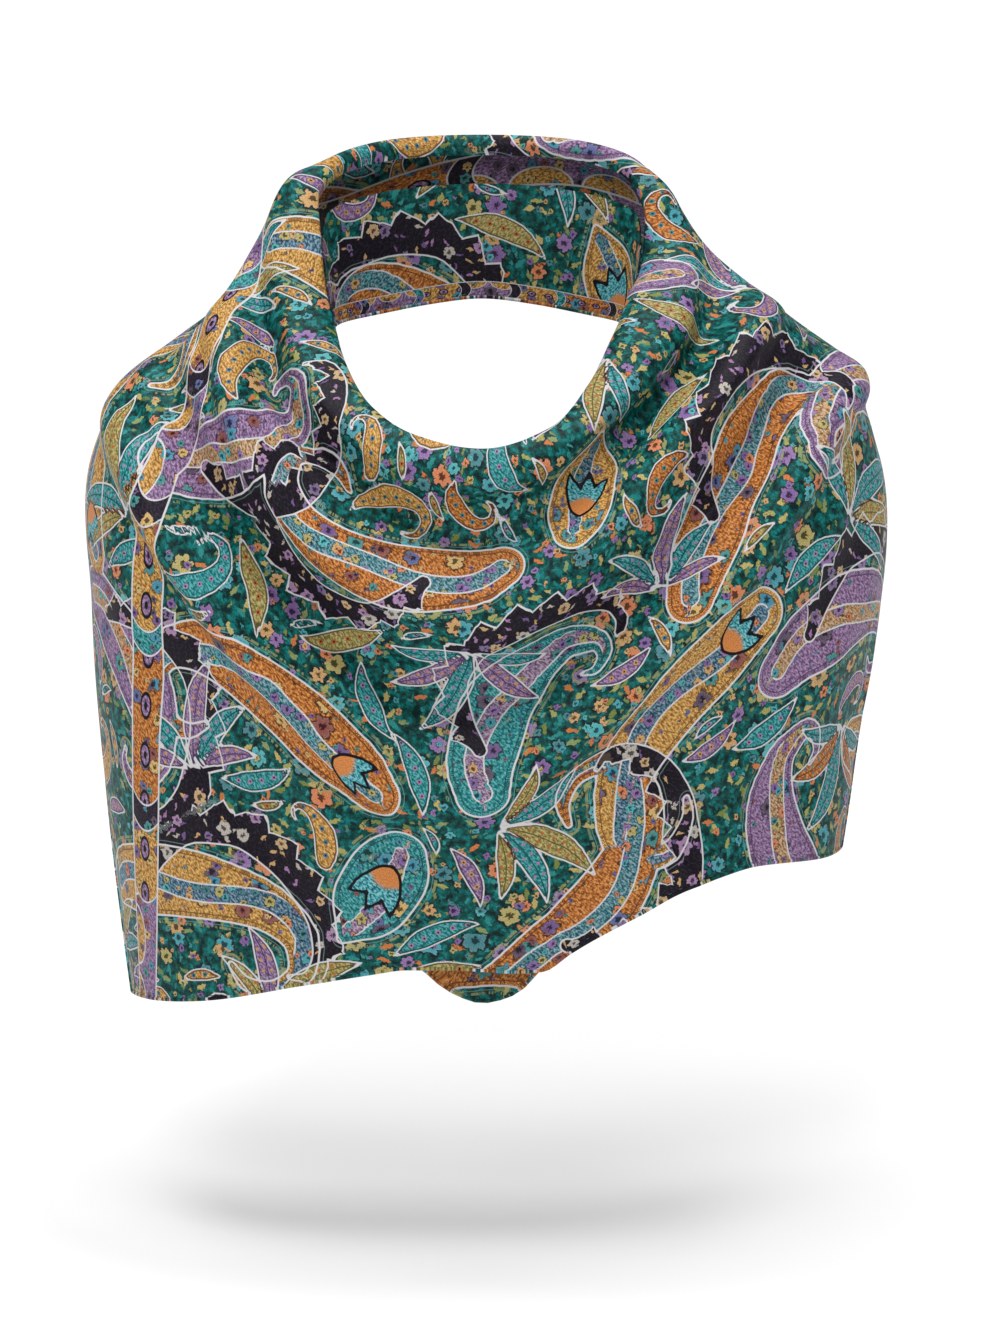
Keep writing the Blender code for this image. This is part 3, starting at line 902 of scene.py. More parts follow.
def spray_lines(spray):
    """Give the leaves of one spray, each as its tint and its place."""
    turns = np.linspace(-0.5, 0.5, spray.leaves) * spray.opening
    for k, turn in enumerate(turns):
        mirror = -1 if turn < 0 else 1
        size = spray.size * (MIDDLE_LEAF - LEAF_LOSS * abs(turn) / spray.opening * 2)
        away = math.radians(spray.turn - turn + 90)
        x = spray.x + LEAF_START * math.cos(away)
        y = spray.y + LEAF_START * math.sin(away)
        tint = spray.other_tint if k % 2 else spray.tint
        yield tint, ("leaf", x, y, spray.turn - turn, mirror, size)


def tulip_lines(motif, place):
    """Give the petals of the tulip head that lies in a motif, if it has one."""
    for tulip in TULIPS:
        if tulip.line == motif.line:
            x, y = turned(tulip.x * motif.mirror * motif.size, tulip.y * motif.size, motif.turn)
            for turn in TULIP_TURNS:
                turn = motif.turn + tulip.turn + turn
                yield drawn("petal", place[0] + x, place[1] + y, turn, 1, tulip.size, PETAL_FINE)


def fill_in():
    """Fill the free ground of one repeat, each filler in a place picked by chance among those with room left for it.
    """
    across = np.arange(0, REPEAT[0], RASTER) - REPEAT[0] / 2
    up = np.arange(0, REPEAT[1], RASTER) - REPEAT[1]
    spots = np.stack(np.meshgrid(across, up, indexing="ij"), -1).reshape(-1, 2)
    free = np.full(len(spots), FAR)

    def take(path, half_widths, room):
        for dx in (-REPEAT[0], 0, REPEAT[0]):
            for dy in (-REPEAT[1], 0, REPEAT[1]):
                moved = path + (dx, dy)
                near = close_to(spots, moved, half_widths, room)
                if len(near):
                    free[near] = np.minimum(free[near], swept(spots[near], moved, half_widths)[0])

    for motif in MOTIFS:
        for line in [motif.line] + ["hook"] * motif.hook:
            take(*drawn(line, *motif[1:6], MOTIF_ROUGH), FAR)
    for spray in SPRAYS:
        for _, line in spray_lines(spray):
            take(*drawn(*line, LEAF_ROUGH), FAR)
    chooser = np.random.default_rng(FILL_SEED)
    placed = []
    for filler in FILLERS:
        marks = np.array(LINES[filler.line], float)
        middle = 0.5 * (marks[:, :2].min(0) + marks[:, :2].max(0))
        least = marks[:, 2].max() * filler.size + filler.room
        roomy = np.flatnonzero(free > least)
        count = 0
        for spot in chooser.permutation(roomy):
            if count == filler.most:
                break
            if free[spot] < least:
                continue
            first = chooser.integers(FILL_TURNS)
            for k in range(0, FILL_TURNS, 2):
                turn = 360.0 / FILL_TURNS * (first + k)
                mirror = 1 if (first + k) % 2 else -1
                cos, sin = math.cos(math.radians(turn)), math.sin(math.radians(turn))
                mx, my = middle[0] * mirror * filler.size, middle[1] * filler.size
                x = spots[spot, 0] - mx * cos + my * sin
                y = spots[spot, 1] - mx * sin - my * cos
                line = (filler.line, x, y, turn, mirror, filler.size)
                path, half_widths = drawn(*line, FILLER_ROUGH)
                cell = np.round((path - (across[0], up[0])) / RASTER).astype(int)
                cell = cell % (len(across), len(up))
                room = free[cell[:, 0] * len(up) + cell[:, 1]] - half_widths
                if room.min() > filler.room:
                    placed.append((filler.tint, line))
                    count += 1
                    take(path, half_widths, NEAR)
                    break
    return placed


def print_layers(flat, fillers, strip):
    """Print the whole design on flat places: cones, hooks, sprays of leaves and small fillers."""
    shape = flat.shape[:-1]
    flat = flat.reshape(-1, 2)
    layers = {}
    for name in ("cones", "hooks", "sprays", "fillers"):
        layers[name] = np.zeros((len(flat), 4))
        layers[name][:, 0] = FAR
    low, high = flat.min(0), flat.max(0)
    repeats = [range(math.floor(low[k] / REPEAT[k] - 1), math.ceil(high[k] / REPEAT[k]) + 2)
               for k in (0, 1)]
    for i, j in itertools.product(*repeats):
        dx, dy = i * REPEAT[0], j * REPEAT[1]
        for motif in MOTIFS:
            place = (motif.x + dx, motif.y + dy, *motif[3:6])
            lay(layers["cones"], flat, drawn(motif.line, *place, MOTIF_FINE), motif.tint)
            if motif.hook:
                lay(layers["hooks"], flat, drawn("hook", *place, HOOK_FINE), DARK)
            else:
                for petal in tulip_lines(motif, place):
                    lay(layers["sprays"], flat, petal, TULIP)
        leaves = [("sprays", *leaf) for spray in SPRAYS for leaf in spray_lines(spray)]
        for name, tint, (line, x, y, *rest) in leaves + [("fillers", *f) for f in fillers]:
            lay(layers[name], flat, drawn(line, x + dx, y + dy, *rest, LEAF_FINE), tint)
    layers["border"] = strip_layer(flat, strip)
    return {name: layer.reshape(*shape, 4) for name, layer in layers.items()}


# The border band down the left of the cloth and on along the collar: points on its middle line
# in the flat, from the lower hem up.
BorderPoint = namedtuple("BorderPoint", "x y")
BORDER = [
    BorderPoint(-213, -450), BorderPoint(-214, -391), BorderPoint(-220, -269),
    BorderPoint(-225, -164), BorderPoint(-226, -100), BorderPoint(-228, -54),
    BorderPoint(-237, -26), BorderPoint(-246, 2), BorderPoint(-257, 24), BorderPoint(-274, 46),
    BorderPoint(-304, 76), BorderPoint(-348, 114), BorderPoint(-404, 160), BorderPoint(-474, 214),
    BorderPoint(-560, 280),
]
BORDER_HALF = 11.5
# The border's segments: where each starts along the band, and its tint.
Segment = namedtuple("Segment", "start tint")
SEGMENTS = [
    Segment(0, LILAC), Segment(96, OCHRE), Segment(142, DARK), Segment(158, RUST),
    Segment(246, TEAL), Segment(260, OCHRE), Segment(322, DARK), Segment(338, LILAC),
    Segment(404, DARK), Segment(420, OCHRE), Segment(482, TEAL), Segment(496, LILAC),
    Segment(580, DARK), Segment(596, RUST), Segment(670, DARK), Segment(686, LILAC),
]
BORDER_FINE = 90

# A strip of border print: its middle line in the flat and how much narrower it is than the border.
Strip = namedtuple("Strip", "line scale")
FOOT_STRIP_HALF = 4.4
FOOT_STRIP_IN = 5.2
FOOT_STRIP_EVERY = 3


def left_border():
    """Give the border down the left of the cloth."""
    steps = np.linspace(0, len(BORDER) - 1, BORDER_FINE)
    return Strip(through(np.arange(len(BORDER)), BORDER, steps), 1.0)


def foot_strip(flat):
    """Give the narrow strip of border print along a stretch's lower edge."""
    line = flat[-1] + unit(flat[0] - flat[-1]) * FOOT_STRIP_IN
    return Strip(line[::FOOT_STRIP_EVERY], BORDER_HALF / FOOT_STRIP_HALF)


def strip_layer(flat, strip):
    """Measure flat places against a strip's middle line: across it, along it."""
    layer = np.zeros((len(flat), 4))
    _, along, side = swept(flat, strip.line, np.zeros(len(strip.line)))
    layer[:, 0], layer[:, 1] = side * strip.scale, along * strip.scale
    return layer


# ---------------------------------------------------------------- colours and the shader


def srgb(red, green, blue):
    """Give a screen colour, 0 to 255 a channel, as linear light."""
    levels = np.array([red, green, blue]) / 255.0
    low = levels / 12.92
    high = ((levels + 0.055) / 1.055) ** 2.4
    return (*np.where(levels <= 0.04045, low, high).tolist(), 1.0)


GROUND = srgb(12, 86, 80)
GROUND_DEEP = srgb(8, 36, 38)
GROUND_BRIGHT = srgb(18, 130, 130)
PALE = srgb(206, 204, 206)
MINT = srgb(134, 164, 160)
INK = srgb(22, 18, 26)
NIGHT_LIGHT = srgb(56, 46, 64)
OLIVE_LINE = srgb(150, 152, 104)
# Colours of a motif, in the order of its tint: ochre, lilac, teal, rust, dark, olive, tulip.
EDGES = [srgb(108, 70, 32), srgb(76, 54, 88), srgb(12, 72, 76), srgb(94, 48, 22),
         srgb(26, 20, 30), srgb(88, 80, 40), srgb(10, 8, 14)]
BODIES = [srgb(188, 138, 70), srgb(134, 104, 142), srgb(38, 132, 136), srgb(180, 106, 48),
          srgb(34, 28, 38), srgb(156, 140, 82), srgb(60, 160, 172)]
LIGHTS = [srgb(228, 190, 120), srgb(178, 152, 184), srgb(110, 184, 182), srgb(222, 160, 94),
          srgb(58, 48, 66), srgb(198, 188, 130), srgb(150, 204, 206)]
HEARTS = [srgb(52, 112, 138), srgb(190, 144, 88), srgb(158, 124, 158), srgb(48, 128, 140),
          srgb(160, 124, 158), srgb(176, 100, 56), srgb(204, 130, 72)]
FLORETS = [srgb(32, 148, 160), srgb(206, 116, 58), srgb(134, 96, 158), srgb(20, 118, 126),
           srgb(172, 158, 82), srgb(52, 166, 170), srgb(116, 78, 146), srgb(196, 150, 86)]
JEWELS = [srgb(30, 134, 160), srgb(96, 60, 124), srgb(20, 128, 126), srgb(130, 48, 34),
          srgb(206, 168, 92), srgb(70, 84, 140), srgb(66, 40, 74)]
NIGHT = [srgb(156, 116, 158), srgb(190, 156, 108), srgb(178, 170, 160), srgb(110, 84, 132)]
SPRIGS = [srgb(6, 40, 42), srgb(28, 122, 120), srgb(126, 134, 76), srgb(8, 54, 54),
          srgb(60, 142, 140), srgb(20, 100, 100)]
LEAFLETS = [srgb(158, 156, 92), srgb(116, 128, 66), srgb(184, 166, 104), srgb(44, 132, 128),
            srgb(196, 116, 66), srgb(134, 146, 96)]

# Florets and small leaves are scattered over the print, at most one to a cell. Their sizes are
# millimetres in the flat, and share is how many of the cells have one.
Bloom = namedtuple("Bloom", "cell radius petals share palette")
GROUND_BLOOMS = [Bloom(17.0, 5.4, 6, 0.62, FLORETS), Bloom(8.6, 2.1, 4, 0.36, FLORETS)]
CONE_BLOOMS = [Bloom(15.0, 4.9, 6, 0.6, JEWELS), Bloom(6.6, 1.4, 4, 0.35, JEWELS)]
CHANNEL_BLOOMS = [Bloom(7.8, 2.9, 6, 0.85, FLORETS)]
NIGHT_BLOOMS = [Bloom(13.0, 4.2, 5, 0.6, NIGHT)]
BORDER_BLOOMS = [Bloom(9.5, 3.2, 6, 0.7, JEWELS)]
Sprig = namedtuple("Sprig", "cell length width share strength palette")
GROUND_SPRIGS = [Sprig(5.4, 2.2, 0.9, 0.8, 0.9, SPRIGS),
                 Sprig(9.0, 4.2, 1.5, 0.62, 1.0, LEAFLETS)]
NIGHT_SPRIGS = [Sprig(7.0, 2.8, 0.9, 0.6, 1.0, NIGHT)]
# A floret's lobes, its least radius and how far chance goes past it, its dark rim and heart, and
# how pale its petals' tips are.
LOBE = 0.34
BLOOM_LEAST, BLOOM_MORE = 0.55, 0.8
BLOOM_RIM, BLOOM_HEART = 1.3, 0.36
BLOOM_DARK, HEART_DARK, TIP_PALE = 0.8, 0.85, 0.16
BLOOM_SOFT, SPRIG_SOFT, SHARE_SOFT = 0.4, 0.2, 0.02
# The twill's grain: its size, turn and stretch, and the finer unevenness over all of the print.
GRAIN_SCALE, FINE_SCALE, CLOUD_SCALE = 0.85, 1.5, 0.2
TWILL_TURN = 0.75
TWILL_STRETCH = 1.9
WOBBLE_SCALE, WOBBLE = 0.4, 1.5
# The channel down a cone: half its width, and how it swings from side to side.
CHANNEL_HALF = 5.6
CHANNEL_SWING, CHANNEL_WAVE = 4.5, 0.055
# A cone's rim and its dashes, and the row of dots on the ground round it.
RIM, DASH_PITCH = 3.6, 4.2
DOTS_AT, DOT_HALF, DOT_PITCH = 4.0, 0.8, 3.6
# The dots down the middle of a small curl and down both halves of a leaf.
CURL_PITCH, CURL_DOT, CURL_HEART = 8.5, 1.5, 0.6
LEAF_PITCH, LEAF_DOTS_AT, LEAF_DOT = 7.0, 2.6, 1.0
TULIP_FOOT = 11.0
# The dark hooks: their whole length, the run of their tips and the teeth on the outer edge.
HOOK_SIZE = 1.02
HOOK_LENGTH = float(reach_along(drawn("hook", 0, 0, 0, 1, HOOK_SIZE, HOOK_FINE)[0])[-1])
HOOK_START, HOOK_END = 14.0, 24.0
TOOTH_PITCH, TOOTH_DEPTH, TOOTH_LEAN = 20.0, 8.0, 0.74
TOOTH_FOOT = 2.0
# The border's arched ends, its half rounds and its row of ovals with their rings.
ARCH = 0.06
HALF_ROUND_PITCH, HALF_ROUND = 47.0, 11.0
OVAL_PITCH, OVAL_RINGS = 29.0, (4.4, 3.2, 1.3)
OVAL_LENGTH = 0.3
# How much the side turned in is darkened (a duller print plus painted shade where the inner faces lie in shadow), and
# the raised grain.
REVERSE_DULL_AND_SHADE = 0.26
RAISED, RAISED_BY = 0.25, 0.0006


class Value:
    """A number or vector on its way through the shader."""

    def __init__(self, nodes, socket):
        self.nodes, self.socket = nodes, socket

    def __add__(self, other):
        return self.nodes.math("ADD", self, other)

    def __sub__(self, other):
        return self.nodes.math("SUBTRACT", self, other)

    def __mul__(self, other):
        return self.nodes.math("MULTIPLY", self, other)

    def __truediv__(self, other):
        return self.nodes.math("DIVIDE", self, other)

    def __abs__(self):
        return self.nodes.math("ABSOLUTE", self)

    def __rsub__(self, other):
        return self.nodes.math("SUBTRACT", other, self)

    def __neg__(self):
        return 0.0 - self

    __radd__ = __add__
    __rmul__ = __mul__


class Nodes:
    """Builds the shader of one kind of cloth."""

    def __init__(self, tree):
        self.tree = tree

    def put(self, kind, feeds=(), **settings):
        """Add a node, set it up and feed its inputs, by number or name."""
        node = self.tree.nodes.new(kind)
        for name, value in settings.items():
            setattr(node, name, value)
        for key, value in dict(feeds).items():
            if isinstance(value, Value):
                self.tree.links.new(value.socket, node.inputs[key])
            else:
                node.inputs[key].default_value = value
        return node

    def read(self, kind, feeds=(), output=0, **settings):
        """Add a node and give one of its outputs."""
        return Value(self, self.put(kind, feeds, **settings).outputs[output])

    def math(self, operation, *values):
        return self.read("ShaderNodeMath", enumerate(values), operation=operation)

    def vector(self, operation, *values):
        return self.read("ShaderNodeVectorMath", enumerate(values), operation=operation)

    def scaled(self, value, gain):
        """Multiply a place or a colour by a number."""
        return self.read("ShaderNodeVectorMath", {0: value, "Scale": gain}, operation="SCALE")

    def clamp(self, value):
        return self.read("ShaderNodeClamp", {"Value": value})

    def fraction(self, value, pitch):
        """Give how far along its pitch a value is, from 0 to 1."""
        return self.math("FRACT", value / pitch)

    def centred(self, value, pitch):
        """Give a value's distance from the middle of its pitch."""
        return (self.fraction(value, pitch) - 0.5) * pitch

    def distance(self, x, y, x_share=1.0):
        """Give the distance from a centre; an oval counts x less."""
        return self.math("SQRT", x * x * x_share + y * y)

    def above(self, value, edge, soft=0.3):
        """1 where the value is over the edge, 0 below it."""
        return self.clamp((value - edge) / soft + 0.5)

    def below(self, value, edge, soft=0.3):
        """1 where the value is under the edge, 0 above it."""
        return self.above(edge, value, soft)

    def stripe(self, value, middle, half, soft=0.3):
        """1 within half of the middle."""
        return self.below(abs(value - middle), half, soft)

    def mix(self, share, a, b):
        return self.read("ShaderNodeMix", {0: share, 6: a, 7: b}, 2, data_type="RGBA")

    def ramp(self, value, colors):
        """Pick one of several colours by a value from 0 to 1."""
        node = self.put("ShaderNodeValToRGB", {"Fac": value})
        node.color_ramp.interpolation = "CONSTANT"
        stops = node.color_ramp.elements
        while len(stops) < len(colors):
            stops.new(0.5)
        for k in range(len(colors)):
            stops[k].position = k / len(colors)
        for stop, color in zip(stops, colors):
            stop.color = color
        return Value(self, node.outputs[0])

    def tinted(self, tint, colors):
        """Pick the colour of a motif's tint, whose numbers go up in ones."""
        return self.ramp((tint + 0.5) / len(colors), colors)

    def grained(self, grain, tint):
        """Give a motif's colour broken up by lighter and darker grain."""
        color = self.tinted(tint, BODIES)
        color = self.mix(self.above(grain, 0.57, 0.2) * 0.8, color, self.tinted(tint, LIGHTS))
        return self.mix(self.below(grain, 0.43, 0.2) * 0.8, color, self.tinted(tint, EDGES))

    def noise(self, place, scale, detail, output=0):
        return self.read("ShaderNodeTexNoise",
                         {"Vector": place, "Scale": scale, "Detail": detail}, output,
                         noise_dimensions="2D")

    def wobbled(self, place, scale, reach):
        """Move places a little to and fro, so that what is printed there has uneven edges."""
        shift = self.vector("SUBTRACT", self.noise(place, scale, 1.0, "Color"), (0.5, 0.5, 0.5))
        return self.vector("ADD", place, self.scaled(shift, 2 * reach))

    def split(self, color):
        """Give the three numbers of a colour."""
        node = self.put("ShaderNodeSeparateColor", {"Color": color})
        return [Value(self, node.outputs[k]) for k in range(3)]

    def cells(self, place, size):
        """Give the offset from the nearest seed point, in its own size, and three chances."""
        place = self.scaled(place, 1.0 / size)
        node = self.put("ShaderNodeTexVoronoi", {"Vector": place, "Scale": 1.0, "Randomness": 1.0},
                        voronoi_dimensions="2D", feature="F1")
        offset = self.vector("SUBTRACT", place, Value(self, node.outputs["Position"]))
        parts = self.put("ShaderNodeSeparateXYZ", {"Vector": offset})
        chances = self.split(Value(self, node.outputs["Color"]))
        return Value(self, parts.outputs[0]), Value(self, parts.outputs[1]), chances

    def channels(self, name):
        """Give the four numbers of a printed layer."""
        node = self.put("ShaderNodeAttribute", attribute_name=name)
        first = self.split(Value(self, node.outputs["Color"]))
        return (*first, Value(self, node.outputs["Alpha"]))

    def steps(self, along, segments):
        """Give the tint of the segment that a place along the band lies in."""
        tint = along * 0.0 + segments[0].tint
        for before, segment in zip(segments, segments[1:]):
            tint = tint + self.above(along, segment.start, 0.1) * (segment.tint - before.tint)
        return tint

    def ends(self, along, segments, half):
        """1 on the lines between the segments."""
        near = abs(along - segments[0].start)
        for segment in segments[1:]:
            near = self.math("MINIMUM", near, abs(along - segment.start))
        return self.below(near, half)

    def blooms(self, color, place, kinds):
        """Print scattered florets: a dark rim, petals in a colour by chance and a dark heart."""
        for kind in kinds:
            x, y, chance = self.cells(place, kind.cell)
            far = self.distance(x, y)
            turn = self.math("ARCTAN2", y, x) + chance[0] * (2 * math.pi)
            lobe = abs(self.math("COSINE", turn * (kind.petals / 2))) * LOBE + (1.0 - LOBE)
            reach = lobe * (kind.radius / kind.cell) * (chance[1] * BLOOM_MORE + BLOOM_LEAST)
            soft = BLOOM_SOFT / kind.cell
            shown = self.below(chance[2], kind.share, SHARE_SOFT)
            rim = self.clamp((reach * BLOOM_RIM - far) / soft)
            color = self.mix(rim * shown * BLOOM_DARK, color, INK)
            tip = self.clamp(far / reach) * TIP_PALE
            petal = self.mix(tip, self.ramp(chance[0], kind.palette), PALE)
            color = self.mix(self.above(reach, far, soft) * shown, color, petal)
            heart = self.above(reach * BLOOM_HEART, far, soft)
            color = self.mix(heart * shown * HEART_DARK, color, INK)
        return color

    def sprigs(self, color, place, kinds):
        """Print scattered small leaves in a colour by chance."""
        for kind in kinds:
            x, y, chance = self.cells(place, kind.cell)
            turn = chance[0] * (2 * math.pi)
            cos, sin = self.math("COSINE", turn), self.math("SINE", turn)
            along = abs(x * cos + y * sin) * (kind.cell / kind.length)
            side = abs(y * cos - x * sin) * (kind.cell / kind.width)
            inside = self.above(1.0 - along * along - side, 0.0, SPRIG_SOFT)
            shown = inside * self.below(chance[2], kind.share, SHARE_SOFT)
            color = self.mix(shown * kind.strength, color, self.ramp(chance[1], kind.palette))
        return color


def printed_cloth(name, dulled):
    """Make the material of the printed silk: the design's layers over a ground full of florets, darkened by a duller
    print plus painted shade on the side turned in, or all over.
    """
    material = bpy.data.materials.new(name)
    material.use_nodes = True
    tree = material.node_tree
    n = Nodes(tree)
    place = n.scaled(n.read("ShaderNodeUVMap", uv_map="flat cloth"), 1 / MM)
    twill = n.read("ShaderNodeMapping", {"Vector": place, "Rotation": (0, 0, TWILL_TURN),
                                         "Scale": (1.0, TWILL_STRETCH, 1.0)},
                   vector_type="TEXTURE")
    grain = n.noise(twill, GRAIN_SCALE, 3.0)
    fine = n.noise(place, FINE_SCALE, 2.0)
    rough = n.wobbled(place, WOBBLE_SCALE, WOBBLE)
    cones, cone_tint, cone_along, cone_side = n.channels("cones")
    hooks, _, hook_along, hook_side = n.channels("hooks")
    curls, curl_tint, curl_along, curl_side = n.channels("fillers")
    leaves, leaf_tint, leaf_along, leaf_side = n.channels("sprays")
    across, down_band, _, _ = n.channels("border")

    # Ground: mottled teal with sprigs and florets, and a row of dots round the big cones.
    cloud = n.noise(place, CLOUD_SCALE, 3.0)
    color = n.mix(n.above(cloud, 0.43, 0.2), GROUND_DEEP, GROUND)
    color = n.mix(n.above(cloud, 0.6, 0.1) * 0.7, color, GROUND_BRIGHT)
    color = n.mix(n.below(grain, 0.42, 0.16) * 0.6, color, GROUND_DEEP)
    color = n.sprigs(color, rough, GROUND_SPRIGS)
    color = n.blooms(color, rough, GROUND_BLOOMS)
    dots = n.stripe(n.fraction(cone_along, DOT_PITCH), 0.5, 0.25, 0.1)
    dots = n.stripe(cones, DOTS_AT, DOT_HALF) * dots
    color = n.mix(dots * 0.75, color, OLIVE_LINE)

    # Fillers: small curls and leaves with a pale line round them.
    depth = -curls
    edges = n.tinted(curl_tint, EDGES)
    dot = n.distance(n.centred(curl_along, CURL_PITCH), curl_side)
    curl = n.mix(n.below(dot, CURL_DOT), n.grained(grain, curl_tint), n.tinted(curl_tint, HEARTS))
    curl = n.mix(n.below(dot, CURL_HEART), curl, INK)
    curl = n.mix(n.above(depth, 1.6), edges, curl)
    color = n.mix(n.above(depth, -0.1), color, curl)
    color = n.mix(n.stripe(depth, 0.3, 0.42), color, PALE)

    # Cones: a grained body with florets, and a channel of another colour that runs down it.
    depth = -cones
    edges = n.tinted(cone_tint, EDGES)
    body = n.blooms(n.grained(grain, cone_tint), rough, CONE_BLOOMS)
    off = abs(cone_side - n.math("SINE", cone_along * CHANNEL_WAVE) * CHANNEL_SWING)
    channel = n.tinted(cone_tint, HEARTS)
    channel = n.mix(n.above(grain, 0.56, 0.24) * 0.45, channel, PALE)
    channel = n.mix(n.below(grain, 0.45, 0.24) * 0.7, channel, INK)
    channel = n.blooms(channel, rough, CHANNEL_BLOOMS)
    body = n.mix(n.below(off, CHANNEL_HALF), body, channel)
    body = n.mix(n.stripe(off, CHANNEL_HALF, 0.5), body, PALE)
    dash = n.stripe(n.fraction(cone_along, DASH_PITCH), 0.5, 0.2, 0.1)
    rim = n.mix(dash * 0.7, n.grained(fine, cone_tint), edges)
    body = n.mix(n.above(depth, RIM), rim, body)
    body = n.mix(n.stripe(depth, RIM, 0.4) * 0.8, body, edges)
    color = n.mix(n.above(depth, 0.0), color, body)

    # Dark hooks over the cones: a toothed outer edge that runs out at both tips, and florets.
    outer = n.above(hook_side, 0.0, 2.0) * n.clamp(hook_along / HOOK_START)
    outer = outer * n.clamp((HOOK_LENGTH - hook_along) / HOOK_END)
    saw = n.fraction(hook_along, TOOTH_PITCH)
    tooth = n.math("MINIMUM", saw / TOOTH_LEAN, (1.0 - saw) / (1.0 - TOOTH_LEAN)) * TOOTH_DEPTH
    hook_depth = (tooth - TOOTH_FOOT) * outer - hooks
    night = n.mix(n.above(grain, 0.56, 0.1) * 0.5, INK, NIGHT_LIGHT)
    night = n.blooms(n.sprigs(night, rough, NIGHT_SPRIGS), rough, NIGHT_BLOOMS)
    color = n.mix(n.above(hook_depth, 0.0), color, night)

    # Sprays of leaves, each with a vein and dots, and tulip heads with a dark outline.
    leaf_depth = -leaves
    edges, hearts = n.tinted(leaf_tint, EDGES), n.tinted(leaf_tint, HEARTS)
    tulip = n.stripe(leaf_tint, TULIP, 0.4, 0.1)
    plain = 1.0 - tulip
    leaf = n.mix(n.stripe(leaf_side, 0.0, 0.35) * plain, n.grained(grain, leaf_tint), edges)
    dot = n.distance(n.centred(leaf_along, LEAF_PITCH), abs(leaf_side) - LEAF_DOTS_AT)
    leaf = n.mix(n.below(dot, LEAF_DOT) * plain, leaf, hearts)
    leaf = n.mix(n.below(leaf_along, TULIP_FOOT, 3.0) * tulip, leaf, hearts)
    leaf = n.mix(n.above(leaf_depth, 1.5), edges, leaf)
    color = n.mix(n.above(leaf_depth, 0.0), color, leaf)

    # The border band: two pale lines and arched segments between them. Warm segments have a row
    # of small dark ovals, lilac ones half rounds of ochre against one of the lines.
    arch = down_band - across * across * ARCH
    segment = n.steps(arch, SEGMENTS)
    half_round = n.centred(down_band, HALF_ROUND_PITCH)
    half_round = n.distance(half_round, BORDER_HALF - across, OVAL_LENGTH)
    ochre, lilac, rust = (n.stripe(segment, tint, 0.4, 0.1) for tint in (OCHRE, LILAC, RUST))
    band = n.mix(n.below(half_round, HALF_ROUND) * lilac, n.grained(grain, segment),
                 n.grained(grain, OCHRE))
    band = n.blooms(band, rough, BORDER_BLOOMS)
    band = n.mix(n.stripe(half_round, HALF_ROUND, 0.45) * lilac, band, PALE)
    oval = n.distance(n.centred(down_band, OVAL_PITCH), across, OVAL_LENGTH)
    for ring, paint in zip(OVAL_RINGS, (INK, n.grained(grain, LILAC), INK)):
        band = n.mix(n.below(oval, ring) * (ochre + rust), band, paint)
    band = n.mix(n.ends(arch, SEGMENTS, 0.6), band, PALE)
    banded = n.stripe(across, 0.0, BORDER_HALF)
    color = n.mix(banded, color, band)

    # Uneven print over all of it, then the pale lines, which cross each other.
    color = n.scaled(color, n.above(fine, 0.5, 1 / 3) * 0.5 + 0.72)
    free = 1.0 - banded
    steep = n.above(saw, TOOTH_LEAN, 0.02) * outer * 0.6
    color = n.mix(n.stripe(depth, 0.4, 0.6) * free, color, PALE)
    color = n.mix(n.stripe(cones, 2.2, 0.25) * 0.5 * free, color, MINT)
    color = n.mix(n.stripe(hook_depth, 0.3, steep + 0.5) * free, color, PALE)
    color = n.mix(n.stripe(leaf_depth, 0.3, 0.5) * free, color, n.mix(tulip, PALE, INK))
    color = n.mix(n.stripe(abs(across), BORDER_HALF, 0.6), color, PALE)

    # The side turned in, and all of the cloth of a material made darker, is darkened: the print is a little duller,
    # and painted shade stands for the shadow that the inner faces and the under layer lie in.
    side = n.read("ShaderNodeAttribute", output="Fac", attribute_name="reverse side")
    color = n.scaled(color, 1.0 - n.math("MAXIMUM", side, dulled) * REVERSE_DULL_AND_SHADE)
    raised = n.read("ShaderNodeBump", {"Height": fine * 0.6 + grain, "Strength": RAISED,
                                       "Distance": RAISED_BY})
    shader = tree.nodes["Principled BSDF"]
    tree.links.new(raised.socket, shader.inputs["Normal"])
    tree.links.new(color.socket, shader.inputs["Base Color"])
    shader.inputs["Roughness"].default_value = 0.5
    shader.inputs["Specular IOR Level"].default_value = 0.12
    return material


# ---------------------------------------------------------------- rolled hems and their stitches

HEM_SIDES = 8
HEM_STEP = 2
STITCH_PITCH = 7.0
STITCH_LENGTH = 1.9
STITCH_RADIUS = 0.22
STITCH_INSET = 1.9
STITCH_RISE = 0.4
STITCH_SIDES = 6


def edge_places(cloth, top_row, sides):
    """Give the rows and columns round a stretch's hem: down its left, along the foot, up again."""
    rows, columns = cloth.points.shape[:2]
    down = [(i, 0) for i in range(top_row, rows, HEM_STEP)] if sides else []
    foot = [(rows - 1, j) for j in range(0, columns, HEM_STEP)]
    up = [(i, columns - 1) for i in range(rows - 1, top_row - 1, -HEM_STEP)] if sides else []
    return tuple(np.array(down[:-1] + foot + up[1:]).T)


